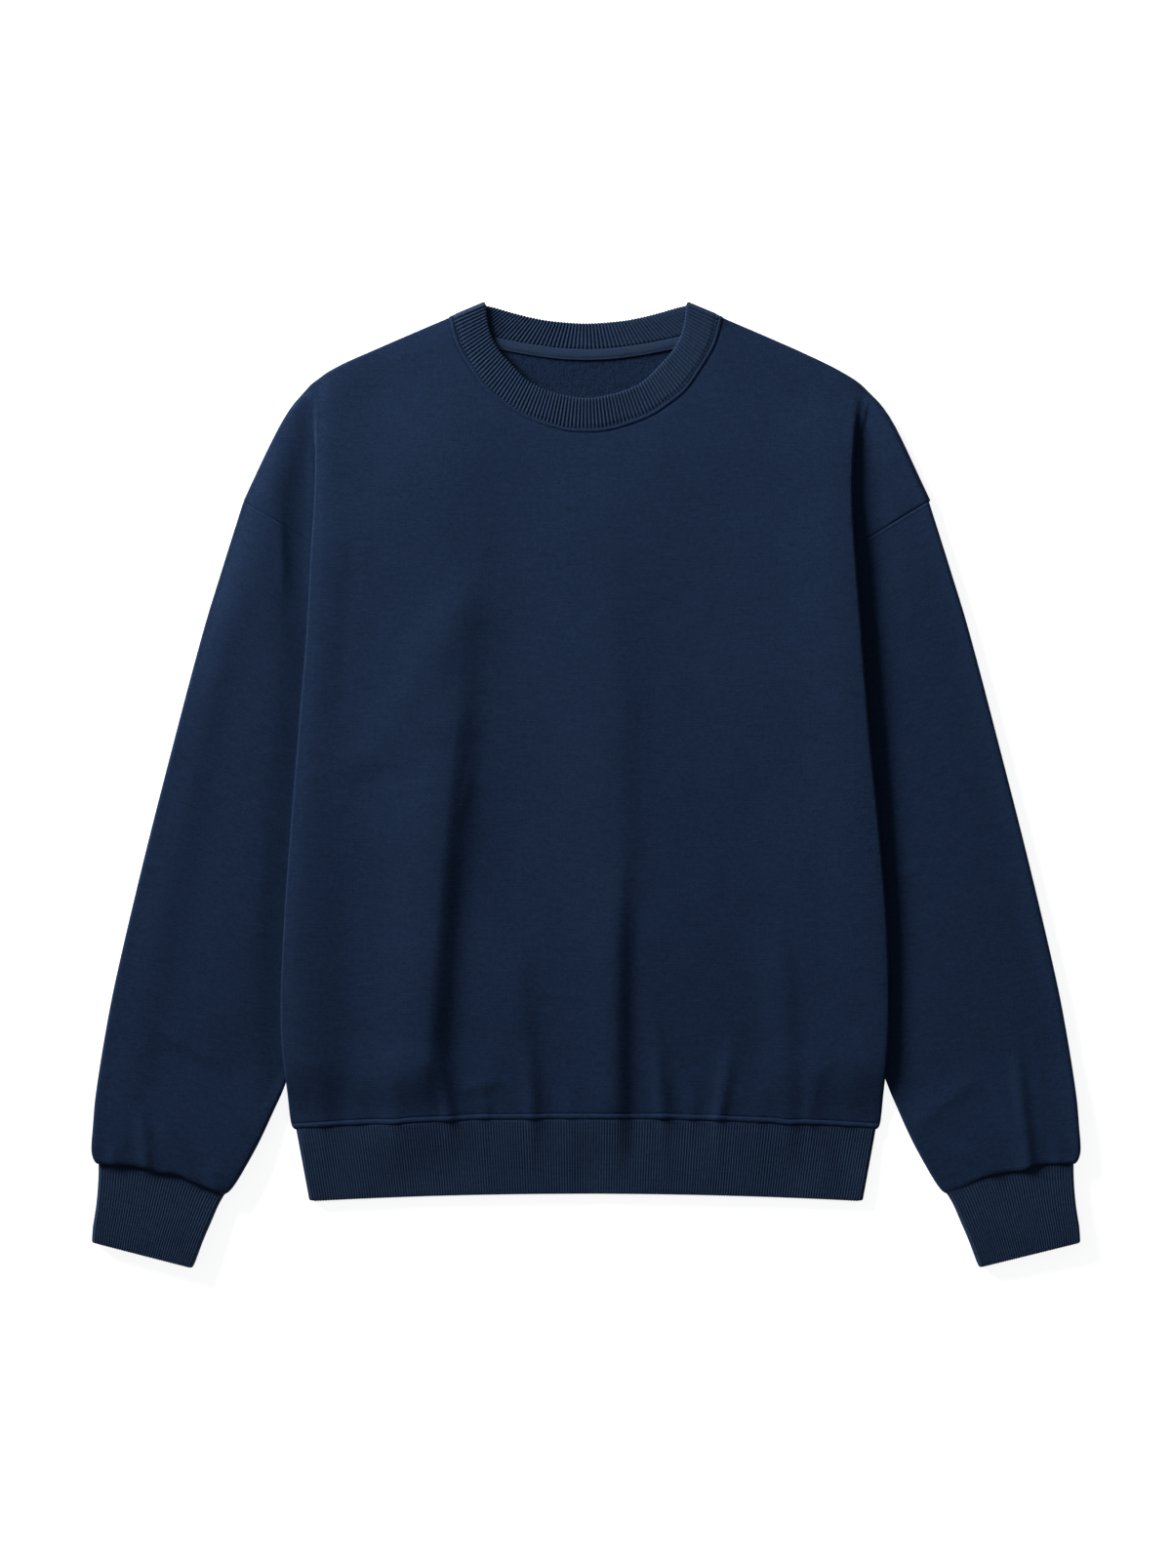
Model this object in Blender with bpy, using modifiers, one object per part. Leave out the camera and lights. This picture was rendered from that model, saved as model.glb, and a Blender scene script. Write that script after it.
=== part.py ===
"""Crewneck sweatshirt laid flat, front up, sleeves down and partly under the body.

Metres, +Z up.  The origin is on the surface it lies on, under the middle of the
garment.  Sizes below are in millimetres and are turned into metres in one place,
to_metres().  +X is the garment's side on the right when the collar points to +Y.
"""
import bmesh
import bpy
import math

# ---------------------------------------------------------------- cloth
FLEECE = 2.0            # thickness of the brushed fleece
RIB = 2.4               # thickness of the doubled rib knit, without its ribs
RIB_RAISE = 0.5         # how far a rib stands out of the doubled knit
TAPE = 0.8              # thickness of the neck tape
SEAM_GAP = 0.3          # between pieces that are sewn together
FLOOR_LEVEL = FLEECE / 2
RIB_FLOOR_LEVEL = RIB / 2

# ---------------------------------------------------------------- body
FOLD_ARC = 5.0          # cloth in one half turn of a folded edge
FOLD_RADIUS = FOLD_ARC / math.pi
LAYER_STEP = 2 * FOLD_RADIUS             # from one layer's middle to the next
CAP_LEVEL = FLOOR_LEVEL + LAYER_STEP     # upper layer of the sleeve and of its cap
EDGE_INSET = FOLD_RADIUS + FLEECE / 2    # from the silhouette to where the cloth turns
FRONT_LEVEL = 4.4       # front where it just lies on the back
NECK_LEVEL = 5.8        # front at the bottom of the neckline
TUCK = 28.0             # how far the sleeve reaches in under the body
SEAM_BESIDE_EDGE = 8.0  # side seam, in from the folded edge, below the arm
BACK_RISES_AT = 62.0    # in from the folded edge, where the back leaves the floor
UNDERARM = (190.0, 171.0)
CREASE_TOP_Y = 317.0    # where the side fold dies out on the shoulder
APEX_Y = -235.0         # where the sleeve comes clear of the body
SHOULDER_UNDER = 7.0    # front cloth under the shoulder edge, to the shoulder seam
UNDER_AT_NECK = 2.0

# Half widths of the body between its folded side edges, by height.
BODY_EDGE = (  # y, left, right
    (-268.7, 228.6, 228.2),
    (-262.0, 230.4, 229.8),
    (-245.0, 232.2, 231.4),
    (-187.0, 237.5, 236.0),
    (-111.0, 235.2, 234.5),
    (-35.0, 229.9, 228.4),
    (41.0, 223.8, 220.8),
    (117.0, 217.7, 214.7),
    (208.0, 213.2, 207.9),
    (290.0, 211.0, 204.4),
    (317.0, 209.5, 206.0),
)
# Shoulder and sleeve cap, from the neck to the armhole seam.
SHOULDER = (  # x, y
    (104.5, 365.2),
    (142.5, 349.2),
    (169.9, 337.1),
    (193.4, 325.7),
    (212.4, 314.3),
    (223.8, 302.9),
    (232.2, 291.5),
    (244.3, 268.7),
    (267.1, 220.0),
)
FRONT_NECK = (  # x, y of the seam between rib and body
    (0.0, 277.0),
    (18.8, 278.6),
    (46.0, 287.6),
    (62.0, 297.5),
    (76.0, 309.0),
    (86.2, 323.6),
    (94.0, 336.0),
    (98.3, 345.0),
    (101.2, 355.0),
    (102.9, 363.0),
)
FRONT_COLLAR_EDGE = (  # x, y of the neckband's folded inner edge
    (0.0, 300.1),
    (19.0, 302.9),
    (34.2, 307.9),
    (46.4, 314.9),
    (59.7, 328.7),
    (67.3, 337.4),
    (71.9, 345.0),
    (74.9, 352.6),
    (77.0, 362.3),
    (78.0, 373.2),
)
BACK_NECK = (  # x, y of the seam between rib and back
    (0.0, 338.6),
    (20.0, 339.4),
    (42.0, 342.3),
    (60.0, 345.6),
    (75.0, 349.0),
    (88.0, 352.4),
    (96.0, 355.3),
    (100.4, 358.4),
    (102.9, 363.0),
)
BACK_COLLAR_EDGE = (  # x, y of the neckband's folded edge at the back
    (0.0, 359.1),
    (25.0, 360.8),
    (40.0, 363.3),
    (53.0, 366.5),
    (65.0, 370.0),
    (72.0, 372.0),
    (78.0, 373.2),
)
COLLAR_EDGE_LEVEL = 8.5  # middle of the neckband's front edge, which stands up a little
COLLAR_SIDE_LEVEL = 4.6
COLLAR_WAY_OUT = (0.39, 0.92)
TAPE_WIDTH = 8.0
TAPE_REACH = 0.9        # share of the back neck seam that the tape covers

HEM_SEAM_Y = -261.0
HEM_SEAM_DIP = 7.6      # the seam's ends lie this much lower than its middle
HEM_END_Y = -319.2
HEM_END_DIP = 5.8
HEM_HALF_TOP = 226.0
HEM_HALF_END = 215.6
HEM_CORNER = 5.0
HEM_RIBS = 211          # on the upper side
COLLAR_FRONT_RIBS = 96
COLLAR_BACK_RIBS = 66
CUFF_RIBS = 42
RIB_LAYER_STEP = 3.4    # between the middles of two layers of a rib tube
RIB_INSET = RIB_LAYER_STEP / 2 + RIB / 2

# ---------------------------------------------------------------- sleeves
SLEEVE_OUTER = (  # y, x of the outer folded edge
    (-294.5, 382.6),
    (-286.0, 384.9),
    (-267.0, 383.8),
    (-244.0, 381.9),
    (-199.0, 375.1),
    (-153.0, 366.3),
    (-62.0, 345.0),
    (29.0, 321.9),
    (120.5, 297.8),
    (166.0, 284.0),
    (220.0, 267.1),
)
SLEEVE_INNER = (  # y, x of the inner folded edge, under the body down to APEX_Y
    (-318.0, 279.0),
    (-312.0, 274.0),
    (-301.0, 267.1),
    (-279.0, 255.0),
    (-256.0, 244.3),
    (-235.0, 235.0),
    (-205.0, 226.0),
    (-170.0, 219.0),
    (-120.0, 212.0),
    (-60.0, 205.0),
    (0.0, 200.5),
    (60.0, 198.0),
    (120.0, 196.0),
    (150.0, 194.0),
    (171.0, 190.0),
)
SLEEVE_END_BULGE = 5.0  # the cuff seam bows up by this much
ARMHOLE_BULGE = 1.2

CUFF_OUTER = (  # y, x
    (-357.5, 384.8),
    (-347.0, 384.2),
    (-335.5, 381.9),
    (-324.0, 380.4),
    (-312.7, 379.6),
    (-296.5, 379.8),
)
CUFF_INNER = (  # y, x
    (-375.8, 306.2),
    (-369.7, 303.6),
    (-358.3, 299.8),
    (-346.9, 295.3),
    (-335.5, 291.5),
    (-324.1, 285.6),
    (-319.0, 281.6),
)

# Soft folds of the front, each a ridge (+) or a trough (-) that fades at its ends.
FRONT_FOLDS = (  # x top, y top, x middle, x bottom, y bottom, half width, height
    (-104.0, 135.0, -118.0, -122.0, -262.0, 17.0, 2.4),
    (-70.0, 120.0, -86.0, -95.0, -262.0, 15.0, -0.9),
    (15.0, 60.0, 14.0, 13.0, -262.0, 13.0, 1.7),
    (40.0, 30.0, 40.0, 41.0, -262.0, 13.0, -0.8),
    (150.0, -40.0, 152.0, 158.0, -262.0, 12.0, 1.1),
    (-205.0, -20.0, -172.0, -140.0, 150.0, 22.0, 1.2),
    (-40.0, -205.0, -44.0, -40.0, -262.0, 7.0, 1.3),
    (64.0, -215.0, 66.0, 64.0, -262.0, 7.0, 1.2),
    (112.0, -190.0, 108.0, 102.0, -262.0, 8.0, 1.3),
    (-198.0, -205.0, -196.0, -194.0, -262.0, 9.0, 1.2),
)
# Soft folds of a sleeve, by its length (0 at the armhole, 1 at the cuff) and width.
SLEEVE_FOLDS = (  # side, along from, along to, across from, across to, half width, height
    (-1, 0.10, 0.55, 0.35, 0.45, 0.10, 1.1),
    (-1, 0.70, 0.86, 0.75, 0.40, 0.08, 1.0),
    (-1, 0.88, 1.00, 0.50, 0.44, 0.05, 1.4),
    (-1, 0.92, 1.00, 0.72, 0.78, 0.05, 1.2),
    (1, 0.12, 0.60, 0.30, 0.42, 0.10, 1.0),
    (1, 0.60, 0.72, 0.65, 0.35, 0.08, 0.8),
    (1, 0.90, 1.00, 0.48, 0.42, 0.05, 1.4),
    (1, 0.93, 1.00, 0.74, 0.80, 0.05, 1.2),
)
SLEEVE_PUFF = 1.1       # the upper layer's rise in the middle of the sleeve

# ---------------------------------------------------------------- how finely it is made
NECK_COLUMNS = 10
SHOULDER_COLUMNS = 6
BACK_NECK_COLUMNS = 6
BACK_SHOULDER_COLUMNS = 5
ROWS_BELOW = 9
ROWS_ABOVE = 10
ARC_STEPS = 4
CAP_COLUMNS = 3
SLEEVE_STATIONS = 14
SLEEVE_UPPER = 12
SLEEVE_LOWER = 6
COLLAR_PLAIN = 20       # columns across a layer of rib tube that shows no ribs
HEM_PLAIN = 14
CUFF_PLAIN = 8
NEAR = 1e-6


# ---------------------------------------------------------------- small helpers
def ease(t):
    """0 to 1 with soft ends."""
    t = min(1.0, max(0.0, t))
    return t * t * (3 - 2 * t)


def mix(a, b, t):
    return a + (b - a) * t


def along_table(rows, at, column=1):
    """Smooth value of a table's column, where its first column equals at."""
    keys = [row[0] for row in rows]
    values = [row[column] for row in rows]
    if at <= keys[0]:
        return values[0]
    if at >= keys[-1]:
        return values[-1]
    k = max(i for i in range(len(keys) - 1) if keys[i] <= at)

    def slope(i):
        low = max(0, i - 1)
        high = min(len(keys) - 1, i + 1)
        return (values[high] - values[low]) / (keys[high] - keys[low])

    span = keys[k + 1] - keys[k]
    t = (at - keys[k]) / span
    return ((2 * t ** 3 - 3 * t ** 2 + 1) * values[k] + (t ** 3 - 2 * t ** 2 + t) * span * slope(k)
            + (3 * t ** 2 - 2 * t ** 3) * values[k + 1] + (t ** 3 - t ** 2) * span * slope(k + 1))


def table_curve(rows, fine=12):
    """Points of a smooth curve through a table of x, y, with the length up to each."""
    points = []
    for i in range(len(rows) - 1):
        before = rows[max(0, i - 1)]
        after = rows[min(len(rows) - 1, i + 2)]
        for step in range(fine):
            t = step / fine
            point = []
            for a, p, q, b in zip(before, rows[i], rows[i + 1], after):
                point.append(0.5 * (2 * p + (q - a) * t + (2 * a - 5 * p + 4 * q - b) * t * t
                                    + (3 * p - a - 3 * q + b) * t ** 3))
            points.append(tuple(point))
    points.append(tuple(rows[-1]))
    lengths = [0.0]
    for p, q in zip(points, points[1:]):
        lengths.append(lengths[-1] + math.dist(p, q))
    return points, lengths


def point_at(curve, share):
    """Point and direction at a share of a curve's length."""
    points, lengths = curve
    wanted = share * lengths[-1]
    i = max(k for k in range(len(points) - 1) if lengths[k] <= wanted + 1e-9)
    t = (wanted - lengths[i]) / (lengths[i + 1] - lengths[i])
    p = points[i]
    q = points[i + 1]
    step = math.dist(p, q)
    direction = ((q[0] - p[0]) / step, (q[1] - p[1]) / step)
    return (mix(p[0], q[0], t), mix(p[1], q[1], t)), direction


def coarse_line(rows, shares):
    """Straight runs along a table's curve, so that the pieces sewn there meet evenly."""
    curve = table_curve(rows)
    return [point_at(curve, share)[0] for share in shares], list(shares)


def to_metres(point):
    return (point[0] * 0.001, point[1] * 0.001, point[2] * 0.001)


# ---------------------------------------------------------------- shape of the body
BACK_NECK_SHARE = 0.97  # of the back neck seam; the front's cloth under the shoulder has the rest
SHOULDER_CURVE = table_curve(SHOULDER)
FRONT_EDGE_CURVE = table_curve(FRONT_COLLAR_EDGE)
BACK_EDGE_CURVE = table_curve(BACK_COLLAR_EDGE)
FRONT_NECK_LINE = coarse_line(FRONT_NECK, [i / NECK_COLUMNS for i in range(NECK_COLUMNS + 1)])
BACK_NECK_SHARES = [BACK_NECK_SHARE * i / BACK_NECK_COLUMNS for i in range(BACK_NECK_COLUMNS + 1)]
BACK_NECK_LINE = coarse_line(BACK_NECK, BACK_NECK_SHARES + [1.0])
CREASE_BOTTOM_Y = BODY_EDGE[0][0]


def body_edge(y, side):
    return along_table(BODY_EDGE, y, 1 if side < 0 else 2)


def hem_seam_y(x):
    return HEM_SEAM_Y - HEM_SEAM_DIP * (x / HEM_HALF_TOP) ** 2


def shoulder_y(x):
    """Height of the shoulder's silhouette at a half width, as far as the cap."""
    return along_table(SHOULDER, x)


def above_underarm(y):
    """0 at the underarm, 1 where the side fold dies out on the shoulder."""
    return (y - UNDERARM[1]) / (CREASE_TOP_Y - UNDERARM[1])


def lift(y):
    """How far the body's edge is lifted by the sleeve under it, 0 to 1."""
    return ease((y - APEX_Y + 27.0) / 48.0)


def edge_level(y):
    """Level of the front at its folded side edge."""
    rise = above_underarm(y)
    if rise > 0:
        angle, _ = side_fold(rise)
        return CAP_LEVEL + fold_drop(angle)
    return CAP_LEVEL + 2 * LAYER_STEP * lift(y)


def side_fold(rise):
    """Turn and straight run of the side fold, which opens out towards the shoulder."""
    angle = math.pi * (1 - ease((rise - 0.62) / 0.38))
    run = mix(TUCK, 1.5, ease(rise / 0.72))
    return angle, run


def fold_drop(angle):
    """Height between the two layers that an S-shaped fold of this turn joins."""
    if angle < NEAR:
        return 0.0
    return 2 * FOLD_ARC / angle * (1 - math.cos(angle))


def fold_height(folds, x, y):
    """Sum of the ridges and troughs at a place."""
    total = 0.0
    for top_x, top_y, middle_x, bottom_x, bottom_y, width, height in folds:
        t = (y - top_y) / (bottom_y - top_y)
        if -0.15 < t < 1.15:
            centre = mix(mix(top_x, middle_x, t), mix(middle_x, bottom_x, t), t)
            fade = ease((t + 0.15) / 0.45)
            if bottom_y > -250:
                fade *= ease((1.15 - t) / 0.45)
            total += height * fade * math.exp(-((x - centre) / width) ** 2)
    return total


def front_level(x, y, side):
    """Middle of the front's cloth over the floor, where it faces up."""
    edge = body_edge(y, side)
    inside = edge - abs(x)
    level = FRONT_LEVEL
    level += (edge_level(y) - FRONT_LEVEL) * (1 - ease((inside - 24.0) / 66.0))
    away = math.dist((x, y), (0.0, 300.0))
    level += (NECK_LEVEL - FRONT_LEVEL) * (1 - ease((away - 30.0) / 60.0))
    fold_share = ease((inside - 30.0) / 30.0)
    return level + fold_share * fold_height(FRONT_FOLDS, x, y)


def crease_rows(below, above):
    """Heights at the body's edge, one for each row of cloth from hem to shoulder."""
    rows = [mix(CREASE_BOTTOM_Y, UNDERARM[1], i / below) for i in range(below)]
    for i in range(above + 1):
        rows.append(mix(UNDERARM[1], CREASE_TOP_Y, i / above))
    return rows


def follow_shoulder(rise, x, start_x):
    """How much lower the fold's cloth lies than its start, where it joins the shoulder."""
    along = EDGE_INSET / 2
    return ease((rise - 0.6) / 0.4) * (shoulder_y(x + along) - shoulder_y(start_x + along))


def inset_outline(share, inset):
    """On the shoulder and cap, moved in from the silhouette; with its way out."""
    (x, y), (dx, dy) = point_at(SHOULDER_CURVE, share)
    way_out = (-dy, dx)
    return (x - inset * way_out[0], y - inset * way_out[1]), way_out


def crease_share():
    """Share of the shoulder's outline at which the side fold dies out."""
    points, lengths = SHOULDER_CURVE
    return min(s for s, p in zip(lengths, points) if p[1] <= CREASE_TOP_Y) / lengths[-1]


CREASE_SHARE = crease_share()
AFTER_CREASE_SHARE = CREASE_SHARE + 15.0 / SHOULDER_CURVE[1][-1]
FOLD_TOP_Y = inset_outline(CREASE_SHARE, EDGE_INSET)[0][1]
ARMHOLE_END = inset_outline(1.0, EDGE_INSET)[0]
BACK_INSET = EDGE_INSET + SHOULDER_UNDER + 2 * SEAM_GAP
BACK_LAST_SHARE = CREASE_SHARE * 0.76
BACK_ARMHOLE_SHARE = 0.9
SEAM_SWING = 1.9        # how soon below the arm the side seam reaches its place
BACK_LAP = 2.4          # at the underarm the back passes this much below the front
CUFF_FROM = 0.03        # the sleeve's end is a little wider than the cuff
CUFF_TO = 0.985


def armhole_point(share):
    """On the armhole seam, 0 at the underarm and 1 at the shoulder's edge."""
    x = mix(UNDERARM[0], ARMHOLE_END[0], share)
    y = mix(UNDERARM[1], ARMHOLE_END[1], share)
    return x, y + ARMHOLE_BULGE * math.sin(math.pi * share)


def row_share(crease_y):
    """How far up the body a row of cloth is, by where it meets the side fold."""
    return (crease_y - CREASE_BOTTOM_Y) / (CREASE_TOP_Y - CREASE_BOTTOM_Y)


def beside_fold_y(crease_y, x):
    """Height of a row of cloth near the side fold, at a half width."""
    return mix(hem_seam_y(x), FOLD_TOP_Y, row_share(crease_y))


# ---------------------------------------------------------------- mesh helpers
def collection_for_garment():
    collection = bpy.data.collections.new("crewneck_sweatshirt")
    bpy.context.scene.collection.children.link(collection)
    return collection


def cloth_material(name, colour, roughness):
    material = bpy.data.materials.new(name)
    material.use_nodes = True
    shader = material.node_tree.nodes["Principled BSDF"]
    shader.inputs["Base Color"].default_value = (*colour, 1.0)
    shader.inputs["Roughness"].default_value = roughness
    shader.inputs["Metallic"].default_value = 0.0
    return material


def add_piece(name, bm, material, collection, thickness=None):
    """A finished piece; an open sheet becomes a wall with Solidify."""
    bmesh.ops.remove_doubles(bm, verts=bm.verts, dist=1e-6)
    bmesh.ops.recalc_face_normals(bm, faces=bm.faces)
    mesh = bpy.data.meshes.new(name)
    bm.to_mesh(mesh)
    bm.free()
    piece = bpy.data.objects.new(name, mesh)
    piece.data.materials.append(material)
    collection.objects.link(piece)
    mesh.shade_smooth()
    if thickness is not None:
        wall = piece.modifiers.new("cloth thickness", 'SOLIDIFY')
        wall.thickness = thickness * 0.001
        wall.offset = 0.0
        wall.use_even_offset = True
    return piece


def add_grid(bm, rows, known=None):
    """Quads between neighbouring rows of points; known vertices are shared by place."""
    made = known if known is not None else {}

    def vertex(point):
        key = tuple(round(value, 4) for value in point)
        if key not in made:
            made[key] = bm.verts.new(to_metres(point))
        return made[key]

    for low, high in zip(rows, rows[1:]):
        for a, b, c, d in zip(low, low[1:], high[1:], high):
            corners = []
            for point in (a, b, c, d):
                corner = vertex(point)
                if corner not in corners:
                    corners.append(corner)
            if len(corners) >= 3:
                bm.faces.new(corners)
    return made


def zip_loops(bm, first, second):
    """Triangles between two closed loops of unlike counts, both going round by share."""
    i = 0
    j = 0
    while i < len(first) or j < len(second):
        next_i = first[(i + 1) % len(first)][0] + (1.0 if i + 1 >= len(first) else 0.0)
        next_j = second[(j + 1) % len(second)][0] + (1.0 if j + 1 >= len(second) else 0.0)
        a = first[i % len(first)][1]
        b = second[j % len(second)][1]
        if j >= len(second) or (i < len(first) and next_i <= next_j):
            bm.faces.new((a, first[(i + 1) % len(first)][1], b))
            i += 1
        else:
            bm.faces.new((a, second[(j + 1) % len(second)][1], b))
            j += 1


# ---------------------------------------------------------------- front and back
def top_columns():
    """Share of the edge's half width for each column, and where the column ends."""
    columns = []
    for i in range(NECK_COLUMNS + 1):
        columns.append(FRONT_NECK_LINE[0][i])
    for i in range(1, SHOULDER_COLUMNS + 1):
        place, _ = inset_outline(CREASE_SHARE * i / SHOULDER_COLUMNS, EDGE_INSET)
        columns.append(place)
    return columns


def front_top_row(crease_y, side, columns):
    """The front's upper face along one row, from the middle to the side fold."""
    share = row_share(crease_y)
    widest = columns[-1][0]
    turn_x = body_edge(crease_y, side) - EDGE_INSET
    row = []
    for x_top, y_top in columns:
        part = x_top / widest
        x = mix(part * turn_x, x_top, ease((share - 0.75) / 0.25))
        y = mix(hem_seam_y(x), y_top, share)
        row.append([side * x, y])
    for place in row:
        place.append(front_level(place[0], place[1], side))
    return row


def side_fold_row(start, crease_y, side):
    """From where the upper face ends, round the fold and back under the body."""
    rise = above_underarm(crease_y)
    if rise > 0:
        angle, run = side_fold(rise)
    else:
        angle = math.pi
        run = mix(TUCK, SEAM_BESIDE_EDGE, ease(-rise * SEAM_SWING))
    radius = FOLD_ARC / angle if angle > NEAR else 0.0
    x, z = abs(start[0]), start[2]
    flat_places = []
    for step in range(1, ARC_STEPS + 1):
        turned = angle * step / ARC_STEPS
        if radius:
            flat_places.append((x + radius * math.sin(turned), z - radius * (1 - math.cos(turned))))
        else:
            flat_places.append((x + FOLD_ARC * step / ARC_STEPS, z))
    end_x, end_z = flat_places[-1]
    for half in (0.5, 1.0):
        flat_places.append((end_x + run * math.cos(angle) * half,
                            end_z - run * math.sin(angle) * half))
    row = []
    for px, pz in flat_places:
        y = beside_fold_y(crease_y, px) + follow_shoulder(rise, px, x)
        row.append((side * px, y, pz))
    return row, angle, radius


def cap_row(start, crease_y, angle, radius, side):
    """From the fold's inner turn, down to the cap and out to the armhole seam."""
    rise = above_underarm(crease_y)
    if rise < NEAR:
        return [start] * (1 + ARC_STEPS + CAP_COLUMNS)
    x, y, z = abs(start[0]), start[1], start[2]
    row = [(x, y, z)]
    for step in range(1, ARC_STEPS + 1):
        left = angle * (1 - step / ARC_STEPS)
        if radius:
            px = x - radius * (math.sin(left) - math.sin(angle))
            pz = z - radius * (math.cos(left) - math.cos(angle))
        else:
            px = x + FOLD_ARC * step / ARC_STEPS
            pz = z
        row.append((px, y + follow_shoulder(rise, px, x), pz))
    inner = row[-1]
    outer = armhole_point(rise)
    for step in range(1, CAP_COLUMNS + 1):
        t = step / CAP_COLUMNS
        (ox, oy), _ = inset_outline(mix(AFTER_CREASE_SHARE, 1.0, t), EDGE_INSET)
        weight = rise ** 2 * (1 - t * t) if rise < 1 else 1.0
        row.append((mix(mix(inner[0], outer[0], t), ox, weight),
                    mix(mix(inner[1], outer[1], t), oy, weight) + t * SEAM_GAP / 2,
                    mix(inner[2], CAP_LEVEL, ease(3 * t))))
    return [(side * px, py, pz) for px, py, pz in row]


def shoulder_turn(row, side):
    """The cloth over the shoulder's edge and under it, to the shoulder seam."""
    ways_out = []
    for i in range(len(row)):
        p = row[max(0, i - 1)]
        q = row[min(len(row) - 1, i + 1)]
        dx = abs(q[0]) - abs(p[0])
        dy = q[1] - p[1]
        length = math.hypot(dx, dy)
        ways_out.append((-dy / length * side, dx / length))
    turned_rows = [row]
    for step in range(1, ARC_STEPS + 1):
        angle = math.pi * step / ARC_STEPS
        turned = []
        for (x, y, z), (nx, ny) in zip(row, ways_out):
            radius = (z - FLOOR_LEVEL) / 2
            out = radius * math.sin(angle)
            turned.append((x + nx * out, y + ny * out, z - radius * (1 - math.cos(angle))))
        turned_rows.append(turned)
    under = []
    for i, ((x, y, z), (nx, ny)) in enumerate(zip(turned_rows[-1], ways_out)):
        reach = SHOULDER_UNDER if i else UNDER_AT_NECK
        under.append((x - nx * reach, y - ny * reach, z))
    turned_rows.append(under)
    return turned_rows


def make_front(material, collection):
    bm = bmesh.new()
    known = {}
    columns = top_columns()
    for side in (-1, 1):
        body_rows = []
        cap_rows = []
        for crease_y in crease_rows(ROWS_BELOW, ROWS_ABOVE):
            rise = above_underarm(crease_y)
            top = front_top_row(crease_y, side, columns)
            fold, angle, radius = side_fold_row(top[-1], crease_y, side)
            body_rows.append([tuple(p) for p in top] + fold)
            if rise > -NEAR:
                cap_rows.append(cap_row(fold[-1], crease_y, angle, radius, side))
        add_grid(bm, body_rows, known)
        add_grid(bm, cap_rows, known)
        edge = body_rows[-1][NECK_COLUMNS:] + cap_rows[-1][1:]
        add_grid(bm, shoulder_turn(edge, side), known)
    return add_piece("body_front", bm, material, collection, FLEECE)


def back_columns():
    """Where each column of the back ends on its neckline and shoulder seam."""
    columns = list(BACK_NECK_LINE[0][:-1])
    for i in range(1, BACK_SHOULDER_COLUMNS + 1):
        place, _ = inset_outline(BACK_LAST_SHARE * i / BACK_SHOULDER_COLUMNS, BACK_INSET)
        columns.append(place)
    return columns


def back_level(inside, y):
    """Middle of the back's cloth: on the floor, and over the sleeves at its sides."""
    clear_of_fold = inside - EDGE_INSET - TUCK
    climb = 1 - ease(clear_of_fold / (BACK_RISES_AT - EDGE_INSET - TUCK))
    over = y - UNDERARM[1]
    if over > 0:
        return FLOOR_LEVEL + (2 * LAYER_STEP - BACK_LAP) * climb * (1 - ease(over / 13.0))
    lap = BACK_LAP * ease(1 + over / 28.0)
    return FLOOR_LEVEL + (2 * LAYER_STEP * lift(y) - lap) * climb


def back_row(crease_y, side, columns):
    """The back along one row, from the middle to above the side fold's inner end."""
    share = row_share(crease_y)
    edge = body_edge(crease_y, side)
    inner_x = edge - EDGE_INSET - TUCK - SEAM_GAP
    widest, last_y = columns[-1]
    pull = (FOLD_TOP_Y - last_y) * (1 - ease(above_underarm(crease_y)))
    row = []
    for x_top, y_top in columns:
        part = x_top / widest
        x = mix(part * inner_x, x_top, ease((share - 0.75) / 0.25))
        y = mix(hem_seam_y(x), y_top + pull * part ** 2, share)
        row.append((side * x, y, back_level(edge - x, y)))
    return row


def back_side_row(start, crease_y, side):
    """From the row's end out to the side seam, beside the front's turned-under cloth."""
    edge = body_edge(crease_y, side)
    run = mix(TUCK, SEAM_BESIDE_EDGE, ease(-above_underarm(crease_y) * SEAM_SWING))
    seam_x = edge - EDGE_INSET - run - SEAM_GAP
    row = [start]
    for t in (0.5, 1.0):
        x = mix(abs(start[0]), seam_x, t)
        y = beside_fold_y(crease_y, x)
        row.append((side * x, y, back_level(edge - x, y)))
    return row


def back_cap_row(start, rise, side):
    """The back's cap, out to the armhole seam."""
    if rise < NEAR:
        return [start] * (1 + CAP_COLUMNS)
    outer = armhole_point(rise * BACK_ARMHOLE_SHARE)
    row = [start]
    for step in range(1, CAP_COLUMNS + 1):
        t = step / CAP_COLUMNS
        (ox, oy), _ = inset_outline(mix(BACK_LAST_SHARE, 1.0, t), BACK_INSET)
        weight = rise ** 2 * (1 - t * t) if rise < 1 else 1.0
        row.append((side * mix(mix(abs(start[0]), outer[0], t), ox, weight),
                    mix(mix(start[1], outer[1], t), oy, weight) + t * SEAM_GAP / 2,
                    mix(start[2], FLOOR_LEVEL, ease(3 * t))))
    return row


def make_back(material, collection):
    bm = bmesh.new()
    known = {}
    columns = back_columns()
    for side in (-1, 1):
        body_rows = []
        side_rows = []
        cap_rows = []
        for crease_y in crease_rows(ROWS_BELOW, ROWS_ABOVE):
            rise = above_underarm(crease_y)
            body_rows.append(back_row(crease_y, side, columns))
            last = body_rows[-1][-1]
            if rise < NEAR:
                side_rows.append(back_side_row(last, crease_y, side))
            if rise > -NEAR:
                cap_rows.append(back_cap_row(last, rise, side))
        add_grid(bm, body_rows, known)
        add_grid(bm, side_rows, known)
        add_grid(bm, cap_rows, known)
    return add_piece("body_back", bm, material, collection, FLEECE)


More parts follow.
